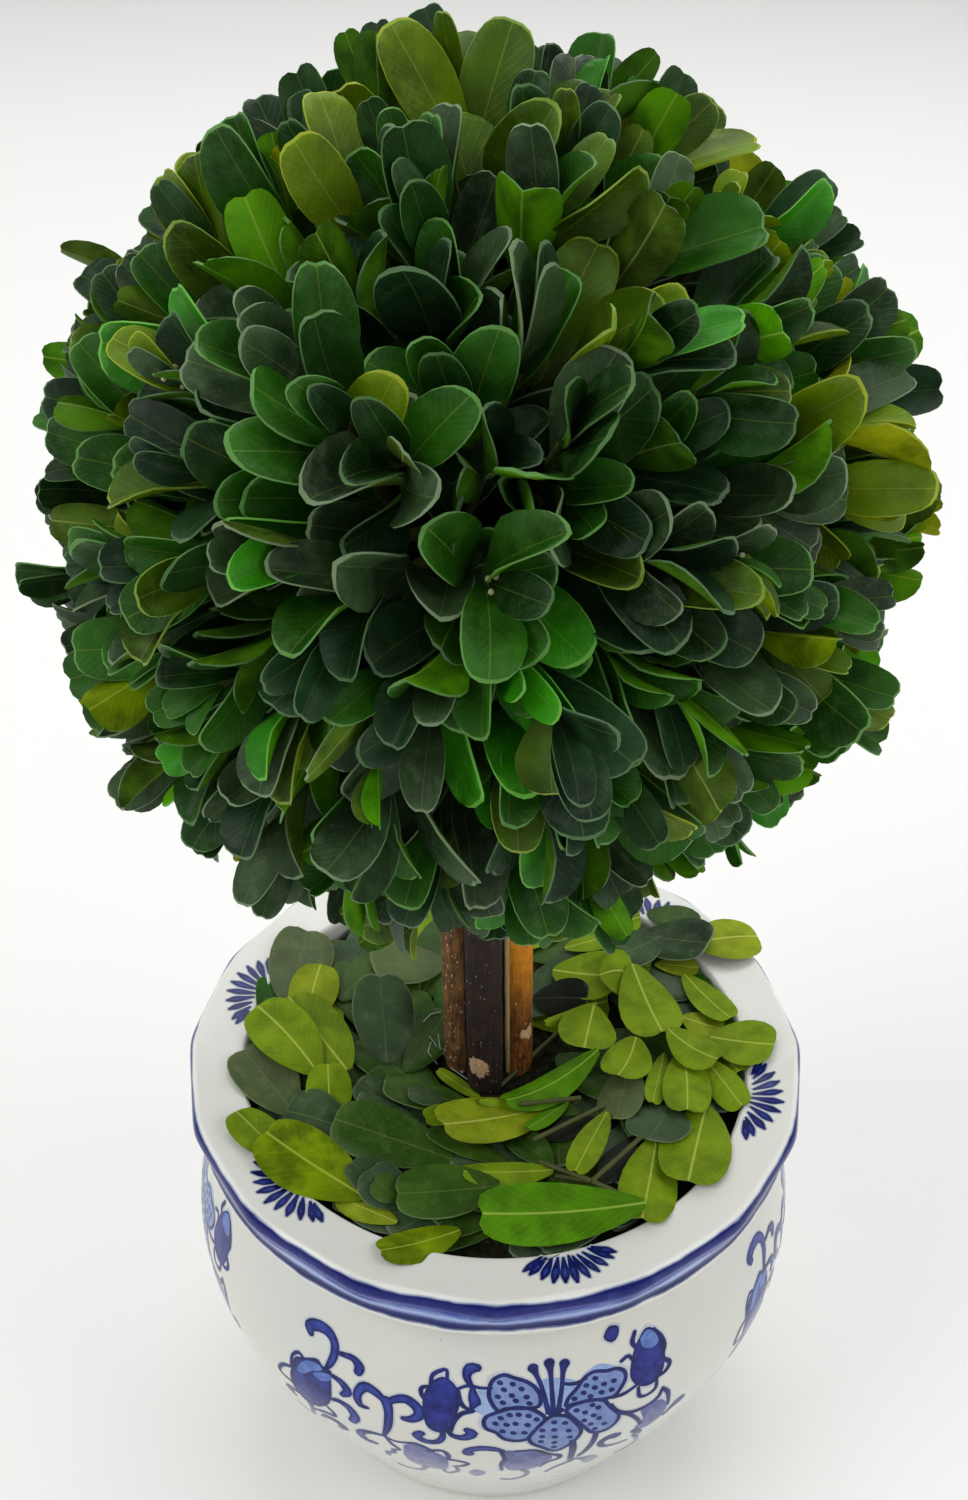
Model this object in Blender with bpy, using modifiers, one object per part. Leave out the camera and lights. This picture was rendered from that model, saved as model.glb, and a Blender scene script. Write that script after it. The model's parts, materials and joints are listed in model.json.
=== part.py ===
"""Potted ball topiary of preserved boxwood: a clipped leaf ball on three bundled sticks, in a glazed pot.

The origin is the middle of the pot's flat underside, +Z is up, and the pot's front is at -Y.
Lengths are in metres, and MM turns the millimetre sizes below into them.
"""

import math
import random

import bmesh
import bpy
from mathutils import Matrix, Vector
from mathutils.bvhtree import BVHTree

MM = 0.001
OBJECT_NAME = "boxwood_ball_topiary"
SEED = 7

# Clearance between two pieces that rest on or pass each other.
GAP = 0.3 * MM
# Points nearer to each other than this are one.
WELD = 0.001 * MM

# Pot: a bulbous glazed bowl with a wide flat rim turned in over the mouth and a lobed lip.
POT_HEIGHT = 93 * MM
POT_STEPS = 48
WALL = 4.5 * MM
FLOOR = 6 * MM
FLOOR_RADIUS = 31 * MM
MOUTH_RADIUS = 47.3 * MM
MOUTH_DEPTH = 7.2 * MM
MOUTH_ROUND = 0.8 * MM
RIM_RADIUS = 57.5 * MM
RIM_DROP = 1.3 * MM
LIP_HEIGHT = 9 * MM
LIP_ROUND = 0.8 * MM
LOBES = 16
LOBE_DEPTH = 0.5 * MM
LOBE_FADE = 0.6 * LIP_HEIGHT
POT_SHARP_DEG = 40
# The lip's outer side under its edge: depth below the rim and radius.
LIP_MM = ((2.4, 58.1), (5, 57.6), (9, 56.4), (12.6, 54.2))
# Outside of the body: depth below the rim and radius.
BODY_MM = ((14, 53.6), (23, 56.6), (35, 59.1), (46, 58.2), (58, 54.3), (70, 49.3), (80, 44.9), (89, 41.2))
POINTS_PER_SPAN = 2
INSIDE_DEPTH = 76 * MM
FOOT_RADIUS = 39.5 * MM
FOOT_BEVEL = 0.8 * MM

# Foam plug that holds the sticks. It passes through the mouth and stands on the pot's floor.
FOAM_RADIUS = MOUTH_RADIUS - GAP
FOAM_TOP = 82 * MM
FOAM_FOOT_RADIUS = 36 * MM
FOAM_SHOULDER = 28 * MM
# The foam's rounded foot: its height as a share of the shoulder's, its flat's share of its radius.
FOAM_ROUND = 0.3
FOAM_FLAT = 0.8
FOAM_STEPS = 32

# Three sticks, bundled as one stem: each one's offset from the bundle's middle line.
STEM_OFFSETS_MM = {"stem_left": (-4.9, 2.9), "stem_middle": (-0.4, -3.3), "stem_right": (5.3, 2.2)}
STEM_RADIUS_FOOT = 3.6 * MM
STEM_RADIUS_TOP = 3.35 * MM
STEM_FOOT = 40 * MM
STEM_TOP = 188 * MM
STEM_POINTS = 8
STEM_ROUNDNESS = 3
STEM_BOW = 0.5 * MM
# The bundle's middle where it leaves the bed of leaves. From there it leans to the ball's middle.
BUNDLE_X = -1.4 * MM
BUNDLE_HEIGHT = 84 * MM
BUNDLE_RADIUS = 10.2 * MM

# Leaf ball.
BALL_CENTRE = Vector((-3.5 * MM, 0, 203 * MM))
BALL_RADIUS = 67 * MM
CORE_RADIUS = 48.5 * MM
CORE_SUBDIVISIONS = 3
SPRIGS = 50
SPRIG_SINK = 4 * MM
TWIG_LENGTH = 6 * MM
BRANCH_LENGTH = 6 * MM
FORK_SPREAD = math.radians(52)
LOWER_PAIR = -0.3
UPPER_PAIR = 0.92
SPRIG_TILT = 0.22
TWIG_RADIUS = 1.2 * MM
TWIG_SIDES = 3
TWIG_TAPER = 0.8
LEAF_SINK = 0.3 * MM
LEAF_LENGTH_MM = (18, 24)
LEAF_SHORTEST = 13 * MM
LEAF_SLENDERNESS = (0.55, 0.68)
LEAF_SPREAD_DEG = (18, 62)
LEAF_THICKNESS = 0.9 * MM
LEAF_CUP = (-0.06, 0.10)
# Shares of a leaf's length: its widest point, the corners of its blunt tip and its thickest point.
LEAF_WIDEST = 0.58
LEAF_CORNERS = 0.96
LEAF_THICKEST = 0.55
LEAF_TURN = math.radians(60)
LEAF_TRIES = 60
BLADE_SHARE = 0.94

# Leaf cover: boxwood leaves glued in rings on a low bed over the foam. The bed dips to the sticks.
BED_TOP = 90.4 * MM
BED_DIP = 84.6 * MM
BED_RADIUS = 45.5 * MM
BED_CREST = 30 * MM
BED_DIP_RADIUS = 11 * MM
BED_STEPS = 24
# Each ring: leaves, radius of their roots, rise to their tips, and swing from straight out, in degrees.
COVER_RINGS = (
    (16, 35 * MM, 5.4 * MM, (-80, -25)),
    (13, 23 * MM, 6.0 * MM, (-85, -15)),
    (8, 13 * MM, 6.5 * MM, (-75, 0)),
)
COVER_LENGTH_MM = (20, 25)
COVER_WIDEST = 53 * MM
COVER_SINK = 1.2 * MM
COVER_JITTER = 0.35

# Colour, roughness.
GLAZE = ((0.66, 0.66, 0.60), 0.12)
FOAM = ((0.09, 0.11, 0.05), 0.9)
BARK = {"stem_left": ((0.22, 0.09, 0.03), 0.8), "stem_middle": ((0.03, 0.015, 0.01), 0.8),
        "stem_right": ((0.45, 0.16, 0.02), 0.7)}
LEAVES = ((0.05, 0.14, 0.03), 0.5)
COVER_LEAVES = ((0.13, 0.24, 0.02), 0.5)


def clear_scene():
    for obj in list(bpy.data.objects):
        bpy.data.objects.remove(obj)


def new_collection(name):
    collection = bpy.data.collections.new(name)
    bpy.context.scene.collection.children.link(collection)
    return collection


def material(name, look):
    colour, roughness = look
    made = bpy.data.materials.new(name)
    made.use_nodes = True
    shader = made.node_tree.nodes["Principled BSDF"]
    shader.inputs["Base Color"].default_value = (*colour, 1)
    shader.inputs["Roughness"].default_value = roughness
    shader.inputs["Metallic"].default_value = 0
    made.diffuse_color = (*colour, 1)
    return made


def object_of(name, mesh, collection):
    obj = bpy.data.objects.new(name, mesh)
    collection.objects.link(obj)
    return obj


def evaluated_mesh(obj):
    """The object's mesh with its modifiers or bevel applied."""
    graph = bpy.context.evaluated_depsgraph_get()
    return bpy.data.meshes.new_from_object(obj.evaluated_get(graph))


def welded_mesh(obj):
    """The same with doubled points merged, which closes a curve's caps and a turned profile's seams."""
    mesh = evaluated_mesh(obj)
    shape = bmesh.new()
    shape.from_mesh(mesh)
    bmesh.ops.remove_doubles(shape, verts=shape.verts, dist=WELD)
    shape.to_mesh(mesh)
    shape.free()
    return mesh


def apply_modifiers(obj):
    mesh = evaluated_mesh(obj)
    obj.modifiers.clear()
    obj.data = mesh


def boolean(obj, name, operation, solver="EXACT", other=None, collection=None):
    modifier = obj.modifiers.new(name, "BOOLEAN")
    modifier.operation = operation
    modifier.solver = solver
    if collection:
        modifier.operand_type = "COLLECTION"
        modifier.collection = collection
    else:
        modifier.object = other


def curve_through(points, per_span):
    """Points on a Catmull-Rom curve through the given ones, each with two values."""
    ends = [Vector(points[0]) * 2 - Vector(points[1]), *map(Vector, points)]
    ends.append(Vector(points[-1]) * 2 - Vector(points[-2]))
    made = []
    for before, start, stop, after in zip(ends, ends[1:], ends[2:], ends[3:]):
        for step in range(per_span):
            t = step / per_span
            made.append(
                0.5 * (2 * start + (stop - before) * t
                       + (2 * before - 5 * start + 4 * stop - after) * t ** 2
                       + (3 * start - before - 3 * stop + after) * t ** 3)
            )
    made.append(ends[-2])
    return made


def turned(name, profile, steps, collection):
    """A profile of (radius, height) points turned about Z. It runs down its outer side."""
    mesh = bpy.data.meshes.new(name)
    edges = [(i, i + 1) for i in range(len(profile) - 1)]
    mesh.from_pydata([(radius, 0, height) for radius, height in profile], edges, [])
    obj = object_of(name, mesh, collection)
    screw = obj.modifiers.new("turn", "SCREW")
    screw.axis = "Z"
    screw.steps = steps
    screw.render_steps = steps
    screw.use_merge_vertices = True
    screw.merge_threshold = WELD
    solid = welded_mesh(obj)
    obj.modifiers.clear()
    obj.data = solid
    return obj


def pot_profile():
    """From the middle of the inside floor, up the wall, over the rim and down to the underside's middle."""
    body = [(radius * MM, depth * MM) for depth, radius in curve_through(BODY_MM, POINTS_PER_SPAN)]
    inside = [(radius - WALL, depth) for radius, depth in body[::2] if depth < INSIDE_DEPTH]
    rim = [(MOUTH_RADIUS, MOUTH_DEPTH), (MOUTH_RADIUS, RIM_DROP + MOUTH_ROUND)]
    rim += [(MOUTH_RADIUS + MOUTH_ROUND, RIM_DROP), (RIM_RADIUS - 2 * LIP_ROUND, 0.1 * LIP_ROUND)]
    rim += [(RIM_RADIUS - LIP_ROUND, 0), (RIM_RADIUS, LIP_ROUND / 2)]
    lip = [(radius * MM, depth * MM) for depth, radius in LIP_MM]
    above = [(radius, POT_HEIGHT - depth) for radius, depth in [*reversed(inside), *rim, *lip, *body]]
    foot = [(FOOT_RADIUS + 0.75 * FOOT_BEVEL, 2 * FOOT_BEVEL), (FOOT_RADIUS, FOOT_BEVEL)]
    foot += [(FOOT_RADIUS - FOOT_BEVEL, 0), (0, 0)]
    return [(0, FLOOR), (FLOOR_RADIUS, FLOOR), *above, *foot]


def lobe_lip(mesh):
    """Presses the lip into lobes: a point in front and every LOBES-th of a turn, shallow bays between."""
    lip_foot = POT_HEIGHT - LIP_HEIGHT
    for vertex in mesh.vertices:
        x, y, z = vertex.co
        radius = math.hypot(x, y)
        if radius < RIM_RADIUS - 1.5 * LIP_ROUND or z <= lip_foot:
            continue
        turn = math.atan2(y, x) + math.pi / 2
        wave = 1 - 2 * abs(math.sin(turn * LOBES / 2))
        share = min(1, (z - lip_foot) / LOBE_FADE)
        scale = (radius + LOBE_DEPTH * wave * share) / radius
        vertex.co = (x * scale, y * scale, z)


def make_pot(collection):
    pot = turned("pot", pot_profile(), POT_STEPS, collection)
    lobe_lip(pot.data)
    pot.data.shade_smooth()
    pot.data.set_sharp_from_angle(angle=math.radians(POT_SHARP_DEG))
    pot.data.materials.append(material("glazed porcelain", GLAZE))


def bundle_middle(height):
    """The bundle's middle line: it leans from its foot towards the ball's middle, with a slight bow."""
    rise = (height - BUNDLE_HEIGHT) / (BALL_CENTRE.z - BUNDLE_HEIGHT)
    bow = STEM_BOW * math.sin(math.pi * (height - STEM_FOOT) / (STEM_TOP - STEM_FOOT))
    return Vector((BUNDLE_X + (BALL_CENTRE.x - BUNDLE_X) * rise, bow, height))


def stem_curve(name, offset, extra, collection):
    """A tapering round stick, fatter and longer by extra when it is used as a cutter."""
    foot = STEM_FOOT - extra
    top = STEM_TOP + extra
    curve = bpy.data.curves.new(name, "CURVE")
    curve.dimensions = "3D"
    curve.bevel_depth = STEM_RADIUS_FOOT + extra
    curve.bevel_resolution = STEM_ROUNDNESS
    curve.use_fill_caps = True
    spline = curve.splines.new("POLY")
    spline.points.add(STEM_POINTS - 1)
    for i, point in enumerate(spline.points):
        share = i / (STEM_POINTS - 1)
        height = foot + (top - foot) * share
        place = bundle_middle(height) + offset
        radius = STEM_RADIUS_FOOT + (STEM_RADIUS_TOP - STEM_RADIUS_FOOT) * share + extra
        point.co = (*place, 1)
        point.radius = radius / curve.bevel_depth
    return object_of(name, curve, collection)


def make_stems(collection, cutters):
    """The three sticks, and a cutter of each that leaves a gap round it."""
    made = []
    for name, (x, y) in STEM_OFFSETS_MM.items():
        offset = Vector((x * MM, y * MM, 0))
        stem = stem_curve(name, offset, 0, collection)
        stem.data.materials.append(material(name + " bark", BARK[name]))
        curve = stem_curve(name + "_cutter", offset, GAP, cutters)
        cutter = object_of(name + "_socket", welded_mesh(curve), cutters)
        bpy.data.objects.remove(curve)
        cutter.hide_render = True
        cutter.display_type = "WIRE"
        made.append(cutter)
    return made


def cut_sockets(obj, cutters):
    for cutter in cutters:
        boolean(obj, cutter.name, "DIFFERENCE", other=cutter)


def make_foam(collection, cutters):
    foot = FLOOR + GAP
    profile = [(0, FOAM_TOP), (FOAM_RADIUS, FOAM_TOP), (FOAM_RADIUS, foot + FOAM_SHOULDER)]
    profile += [(FOAM_FOOT_RADIUS, foot + FOAM_ROUND * FOAM_SHOULDER), (FOAM_FLAT * FOAM_FOOT_RADIUS, foot)]
    profile.append((0, foot))
    foam = turned("foam_plug", profile, FOAM_STEPS, collection)
    cut_sockets(foam, cutters)
    foam.data.materials.append(material("dry florist foam", FOAM))


def leaf_mesh(length, width, cup):
    """An eight-faced boxwood leaf along +X, widest past its middle, blunt at the tip, face up +Z."""
    lift = cup * length
    widest = LEAF_WIDEST * length
    corners = LEAF_CORNERS * length
    outline = [(0, 0, 0), (widest, -width / 2, 0.5 * lift), (corners, -width / 4, lift),
               (corners, width / 4, lift), (widest, width / 2, 0.5 * lift)]
    middle = (LEAF_THICKEST * length, 0, 0.57 * lift + LEAF_THICKNESS)
    upper = [(5, i, (i + 1) % 5) for i in range(5)]
    lower = [(0, i + 1, i) for i in range(1, 4)]
    mesh = bpy.data.meshes.new("leaf")
    mesh.from_pydata([*outline, middle], [], upper + lower)
    return mesh


def frame_at(place, along, face_up):
    """A matrix that puts +X along the first direction and +Z near the second."""
    x = along.normalized()
    y = face_up.cross(x).normalized()
    z = x.cross(y)
    return Matrix.Translation(place) @ Matrix((x, y, z)).transposed().to_4x4()


def space_of(mesh, root, tip, share):
    """What a leaf or twig takes up past its root: its surface drawn in to its tip, its middle and reach."""
    points = [tip + (vertex.co - tip) * share for vertex in mesh.vertices]
    faces = [tuple(face.vertices) for face in mesh.polygons]
    middle = (root + tip) / 2
    return BVHTree.FromPolygons(points, faces), middle, (tip - middle).length


def crosses(space, grown):
    tree, middle, reach = space
    for other, other_middle, other_reach in grown:
        if (middle - other_middle).length < reach + other_reach and tree.overlap(other):
            return True
    return False


def add_leaf(place, along, face_up, length, grown, rng, collection):
    """Adds a leaf unless it would cut through one that is there. Says whether it did."""
    mesh = leaf_mesh(length, length * rng.uniform(*LEAF_SLENDERNESS), rng.uniform(*LEAF_CUP))
    mesh.transform(frame_at(place - along * LEAF_SINK, along, face_up))
    space = space_of(mesh, place, place + along * length, BLADE_SHARE)
    if crosses(space, grown):
        bpy.data.meshes.remove(mesh)
        return False
    grown.append(space)
    object_of("leaf", mesh, collection)
    return True


def add_twig(start, stop, grown, collection):
    """A tapering twig between two points."""
    shape = bmesh.new()
    bmesh.ops.create_cone(shape, cap_ends=True, segments=TWIG_SIDES, radius1=TWIG_RADIUS,
                          radius2=TWIG_TAPER * TWIG_RADIUS, depth=(stop - start).length)
    mesh = bpy.data.meshes.new("twig")
    shape.to_mesh(mesh)
    shape.free()
    turn = (stop - start).to_track_quat("Z", "Y").to_matrix().to_4x4()
    mesh.transform(Matrix.Translation((start + stop) / 2) @ turn)
    grown.append(space_of(mesh, start, stop, 1))
    object_of("twig", mesh, collection)


def clear_of_stems(points):
    """True where every point is outside the bundle, or above the sticks' tips."""
    for point in points:
        if point.z > STEM_TOP + GAP:
            continue
        middle = bundle_middle(point.z)
        if math.hypot(point.x - middle.x, point.y - middle.y) < BUNDLE_RADIUS:
            return False
    return True


def spiral_direction(index, count):
    """The index-th of count directions spread evenly over a sphere."""
    height = 1 - 2 * (index + 0.5) / count
    turn = index * math.pi * (3 - math.sqrt(5))
    level = math.sqrt(1 - height * height)
    return Vector((level * math.cos(turn), level * math.sin(turn), height))


def any_direction(rng):
    return Vector((rng.gauss(0, 1), rng.gauss(0, 1), rng.gauss(0, 1))).normalized()


def leaf_reach(place, along):
    """How long a leaf from this place may grow before it leaves the ball."""
    out = place - BALL_CENTRE
    across = out.dot(along)
    return -across + math.sqrt(across ** 2 + BALL_RADIUS ** 2 - out.length_squared)


def grow_leaf(place, heading, side, grown, rng, collection):
    """A leaf that leaves its twig towards side: turned until it fits, shortened to stay in, or skipped."""
    for _ in range(LEAF_TRIES):
        spread = math.radians(rng.uniform(*LEAF_SPREAD_DEG))
        turned_side = Matrix.Rotation(rng.uniform(-LEAF_TURN, LEAF_TURN), 3, heading) @ side
        along = heading * math.cos(spread) + turned_side * math.sin(spread)
        face_up = heading * math.sin(spread) - turned_side * math.cos(spread)
        length = min(rng.uniform(*LEAF_LENGTH_MM) * MM, leaf_reach(place, along))
        tip = place + along * length
        if length < LEAF_SHORTEST or not clear_of_stems([place, (place + tip) / 2, tip]):
            continue
        if add_leaf(place, along, face_up, length, grown, rng, collection):
            return


def grow_pairs(start, heading, length, side, grown, rng, collection):
    """Crossed pairs of leaves up a twig, the last pair at its tip."""
    across = heading.cross(side).normalized()
    for share, pair in ((LOWER_PAIR, side), (UPPER_PAIR, across)):
        for way in (1, -1):
            grow_leaf(start + heading * length * share, heading, pair * way, grown, rng, collection)


def grow_sprig(outward, grown, rng, collection):
    """A twig out of the core with one side twig, and crossed pairs of leaves on both."""
    heading = (outward + SPRIG_TILT * any_direction(rng)).normalized()
    surface = BALL_CENTRE + outward * CORE_RADIUS
    root = surface - heading * SPRIG_SINK
    tip = surface + heading * TWIG_LENGTH
    if not clear_of_stems([root, tip]):
        return
    add_twig(root, tip, grown, collection)
    side = heading.cross(any_direction(rng)).normalized()
    branch = (heading * math.cos(FORK_SPREAD) + side * math.sin(FORK_SPREAD)).normalized()
    forked = clear_of_stems([surface + branch * BRANCH_LENGTH])
    if forked:
        add_twig(surface, surface + branch * BRANCH_LENGTH, grown, collection)
    grow_pairs(surface, heading, TWIG_LENGTH, heading.cross(side), grown, rng, collection)
    if forked:
        grow_pairs(surface, branch, BRANCH_LENGTH, side, grown, rng, collection)


def keep_outer_shell(mesh):
    """Fills hollows sealed by crossing leaves and drops loose scraps: the largest shell stays."""
    shape = bmesh.new()
    shape.from_mesh(mesh)
    unseen = set(shape.faces)
    shells = []
    while unseen:
        shell = {unseen.pop()}
        edge_of_shell = list(shell)
        while edge_of_shell:
            face = edge_of_shell.pop()
            for edge in face.edges:
                for neighbour in edge.link_faces:
                    if neighbour in unseen:
                        unseen.remove(neighbour)
                        shell.add(neighbour)
                        edge_of_shell.append(neighbour)
        shells.append(shell)
    shells.sort(key=len)
    for shell in shells[:-1]:
        bmesh.ops.delete(shape, geom=list(shell), context="FACES")
    shape.to_mesh(mesh)
    shape.free()


def fuse(obj, pieces):
    """Joins the object with every piece in a collection into one body, and removes the pieces."""
    boolean(obj, "fuse", "UNION", solver="MANIFOLD", collection=pieces)
    apply_modifiers(obj)
    keep_outer_shell(obj.data)
    for piece in list(pieces.objects):
        bpy.data.objects.remove(piece)
    bpy.data.collections.remove(pieces)


def make_ball(collection, cutters, rng):
    shape = bmesh.new()
    bmesh.ops.create_icosphere(shape, subdivisions=CORE_SUBDIVISIONS, radius=CORE_RADIUS)
    bmesh.ops.translate(shape, verts=shape.verts, vec=BALL_CENTRE)
    mesh = bpy.data.meshes.new("leaf_ball")
    shape.to_mesh(mesh)
    shape.free()
    ball = object_of("leaf_ball", mesh, collection)
    cut_sockets(ball, cutters)
    apply_modifiers(ball)
    sprigs = new_collection("sprigs")
    grown = []
    for i in range(SPRIGS):
        grow_sprig(spiral_direction(i, SPRIGS), grown, rng, sprigs)
    fuse(ball, sprigs)
    ball.data.materials.append(material("preserved boxwood leaves", LEAVES))


def bed_height(radius):
    """The bed is level outside its crest and slopes down to the dip round the sticks."""
    share = (radius - BED_DIP_RADIUS) / (BED_CREST - BED_DIP_RADIUS)
    return BED_DIP + (BED_TOP - BED_DIP) * min(1, max(0, share))


def lay_ring(ring, grown, rng, collection):
    """Leaves laid round the stem in a swirl, each rising from its root in the bed over the next one's."""
    count, root_radius, rise, swing_range = ring
    start = rng.uniform(0, math.tau)
    for i in range(count):
        for _ in range(LEAF_TRIES):
            turn = start + math.tau * (i + rng.uniform(-COVER_JITTER, COVER_JITTER)) / count
            out = Vector((math.cos(turn), math.sin(turn), 0))
            swing = math.radians(rng.uniform(*swing_range))
            length = rng.uniform(*COVER_LENGTH_MM) * MM
            along = Matrix.Rotation(swing, 3, "Z") @ out + Vector((0, 0, rise / length))
            along.normalize()
            place = out * root_radius + Vector((0, 0, bed_height(root_radius) - COVER_SINK))
            tip = place + along * length
            if math.hypot(tip.x, tip.y) > COVER_WIDEST or not clear_of_stems([place, tip]):
                continue
            if add_leaf(place, along, Vector((0, 0, 1)), length, grown, rng, collection):
                break


def make_cover(collection, cutters, rng):
    bottom = FOAM_TOP + GAP
    profile = [(0, BED_DIP), (BED_DIP_RADIUS, BED_DIP), (BED_CREST, BED_TOP)]
    profile += [(BED_RADIUS - 2 * MM, BED_TOP), (BED_RADIUS, BED_TOP - 2 * MM)]
    profile += [(BED_RADIUS, bottom), (0, bottom)]
    cover = turned("leaf_cover", profile, BED_STEPS, collection)
    cut_sockets(cover, cutters)
    apply_modifiers(cover)
    leaves = new_collection("cover_leaves")
    grown = []
    for ring in COVER_RINGS:
        lay_ring(ring, grown, rng, leaves)
    fuse(cover, leaves)
    cover.data.materials.append(material("laid boxwood leaves", COVER_LEAVES))


def main():
    clear_scene()
    parts = new_collection(OBJECT_NAME)
    helpers = new_collection("cutters")
    rng = random.Random(SEED)
    make_pot(parts)
    cutters = make_stems(parts, helpers)
    make_foam(parts, cutters)
    make_ball(parts, cutters, rng)
    make_cover(parts, cutters, rng)


main()
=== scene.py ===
"""The looks of a potted ball topiary of preserved boxwood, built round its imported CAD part.

Lengths are in metres, and MM turns millimetres into them. The origin is the middle of the pot's flat
underside, +Z is up, and the pot's front is at -Y.
"""

import json
import math
import random
from functools import partial

import bmesh
import bpy
import numpy as np
from mathutils import Matrix, Vector, noise
from mathutils.bvhtree import BVHTree

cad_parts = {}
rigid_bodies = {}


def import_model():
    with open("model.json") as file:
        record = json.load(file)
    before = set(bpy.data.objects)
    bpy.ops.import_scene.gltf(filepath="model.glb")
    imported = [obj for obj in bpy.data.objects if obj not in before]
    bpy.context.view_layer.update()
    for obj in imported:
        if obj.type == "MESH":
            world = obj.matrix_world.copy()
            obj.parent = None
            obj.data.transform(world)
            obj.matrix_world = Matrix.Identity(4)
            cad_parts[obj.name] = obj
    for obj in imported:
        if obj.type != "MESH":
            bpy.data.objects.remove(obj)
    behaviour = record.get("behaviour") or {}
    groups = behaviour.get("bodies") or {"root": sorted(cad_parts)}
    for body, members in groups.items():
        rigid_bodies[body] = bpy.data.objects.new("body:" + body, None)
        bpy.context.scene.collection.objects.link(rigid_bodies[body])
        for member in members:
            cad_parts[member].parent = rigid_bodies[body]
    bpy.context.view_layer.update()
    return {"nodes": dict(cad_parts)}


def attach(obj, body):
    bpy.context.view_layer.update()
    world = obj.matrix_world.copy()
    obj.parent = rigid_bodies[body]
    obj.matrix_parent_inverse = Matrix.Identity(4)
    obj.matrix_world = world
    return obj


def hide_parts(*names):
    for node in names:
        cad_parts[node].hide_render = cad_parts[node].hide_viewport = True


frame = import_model()

MM = 0.001
SEED = 11

# Nodes, materials and meshes

# The kinds of node that recur, each with its settings.
ADD, SUBTRACT, MULTIPLY, DIVIDE, MULTIPLY_ADD, MAXIMUM, ABSOLUTE, LESS_THAN, PINGPONG = (
    ("ShaderNodeMath", {"operation": operation}) for operation in (
        "ADD", "SUBTRACT", "MULTIPLY", "DIVIDE", "MULTIPLY_ADD", "MAXIMUM", "ABSOLUTE", "LESS_THAN",
        "PINGPONG"))
STRETCH, SCALE, LENGTH, DISTANCE = (
    ("ShaderNodeVectorMath", {"operation": operation})
    for operation in ("MULTIPLY", "SCALE", "LENGTH", "DISTANCE"))
# A step is 0 at its first limit and 1 at its second, smooth between them. The second may be the lower one.
STEP = ("ShaderNodeMapRange", {"interpolation_type": "SMOOTHSTEP"})
BLEND = ("ShaderNodeMix", {"data_type": "RGBA"})
# Noise takes coordinates, 1 over the size of its lumps, detail and roughness.
NOISE = ("ShaderNodeTexNoise", {})
CELLS = ("ShaderNodeTexVoronoi", {})
SPLIT = ("ShaderNodeSeparateXYZ", {})
JOIN = ("ShaderNodeCombineXYZ", {})
# A bump takes strength, the full height in metres, nothing, and the share of that height.
BUMP = ("ShaderNodeBump", {})


def linear(hex_colour):
    """A colour written as sRGB hex, as linear RGBA."""
    made = []
    for i in (1, 3, 5):
        value = int(hex_colour[i:i + 2], 16) / 255
        made.append(value / 12.92 if value <= 0.04045 else ((value + 0.055) / 1.055) ** 2.4)
    return (*made, 1.0)


def fill(socket, value):
    """Gives an input a plain value or links another node's output to it. None leaves it as it is."""
    if isinstance(value, bpy.types.NodeSocket):
        socket.id_data.links.new(value, socket)
    elif value is not None:
        socket.default_value = value


def add(tree, kind, settings, *values):
    """Adds a node with its settings, fills its inputs in use in order and gives its first output in use."""
    made = tree.nodes.new(kind)
    for name, setting in settings.items():
        setattr(made, name, setting)
    for socket, value in zip([socket for socket in made.inputs if socket.enabled], values):
        fill(socket, value)
    return next((socket for socket in made.outputs if socket.enabled), None)


def new_material(name):
    """A new material, what adds a node to it and its object's coordinates."""
    made = bpy.data.materials.new(name)
    made.use_nodes = True
    node = partial(add, made.node_tree)
    return made, node, node("ShaderNodeTexCoord", {}).node.outputs["Object"]


def finish_material(made, sockets):
    """Fills the inputs of the material's shader."""
    for name, value in sockets.items():
        fill(made.node_tree.nodes["Principled BSDF"].inputs[name], value)
    return made


def grainy(name, sockets, colours, size, detail=3, roughness=0.5, spread=None, depth=None):
    """A material of two colours that noise blends over a spread of its values and raises by depth."""
    made, node, coords = new_material(name)
    lumps = node(*NOISE, coords, 1 / size, detail, roughness)
    share = node(*STEP, lumps, *spread) if spread else lumps
    colour = node(*BLEND, share, *map(linear, colours))
    bump = node(*BUMP, 1, depth, None, lumps) if depth else None
    return finish_material(made, {**sockets, "Base Color": colour, "Normal": bump})


def object_of(name, data):
    obj = bpy.data.objects.new(name, data)
    bpy.context.scene.collection.objects.link(obj)
    return obj


def smoothed(mesh, smooth_deg):
    """The mesh, smooth but for edges sharper than an angle."""
    mesh.shade_smooth()
    mesh.set_sharp_from_angle(angle=math.radians(smooth_deg))
    return mesh


def mesh_of(name, points, faces, edges=()):
    mesh = bpy.data.meshes.new(name)
    mesh.from_pydata([tuple(point) for point in points], edges, faces)
    return mesh


def poured(shape, mesh, material):
    """The mesh filled from a bmesh, which is freed, smooth and all of one material."""
    shape.to_mesh(mesh)
    shape.free()
    mesh.shade_smooth()
    mesh.materials.append(material)
    return mesh


def turned_out(mesh, smooth_deg, merge=0.0):
    """The closed mesh with its faces outward, points nearer than merge joined, smooth up to an angle."""
    shape = bmesh.new()
    shape.from_mesh(mesh)
    if merge:
        bmesh.ops.remove_doubles(shape, verts=shape.verts, dist=merge)
    bmesh.ops.recalc_face_normals(shape, faces=shape.faces)
    shape.to_mesh(mesh)
    shape.free()
    return smoothed(mesh, smooth_deg)


def sheet(long, wide):
    """The quads of a sheet of points, row by row, and its border in order."""
    quads = [(i * wide + j, (i + 1) * wide + j, (i + 1) * wide + j + 1, i * wide + j + 1)
             for i in range(long - 1) for j in range(wide - 1)]
    border = [*range(wide), *(i * wide + wide - 1 for i in range(1, long)),
              *((long - 1) * wide + j for j in range(wide - 2, -1, -1)),
              *(i * wide for i in range(long - 2, 0, -1))]
    return quads, border


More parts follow.
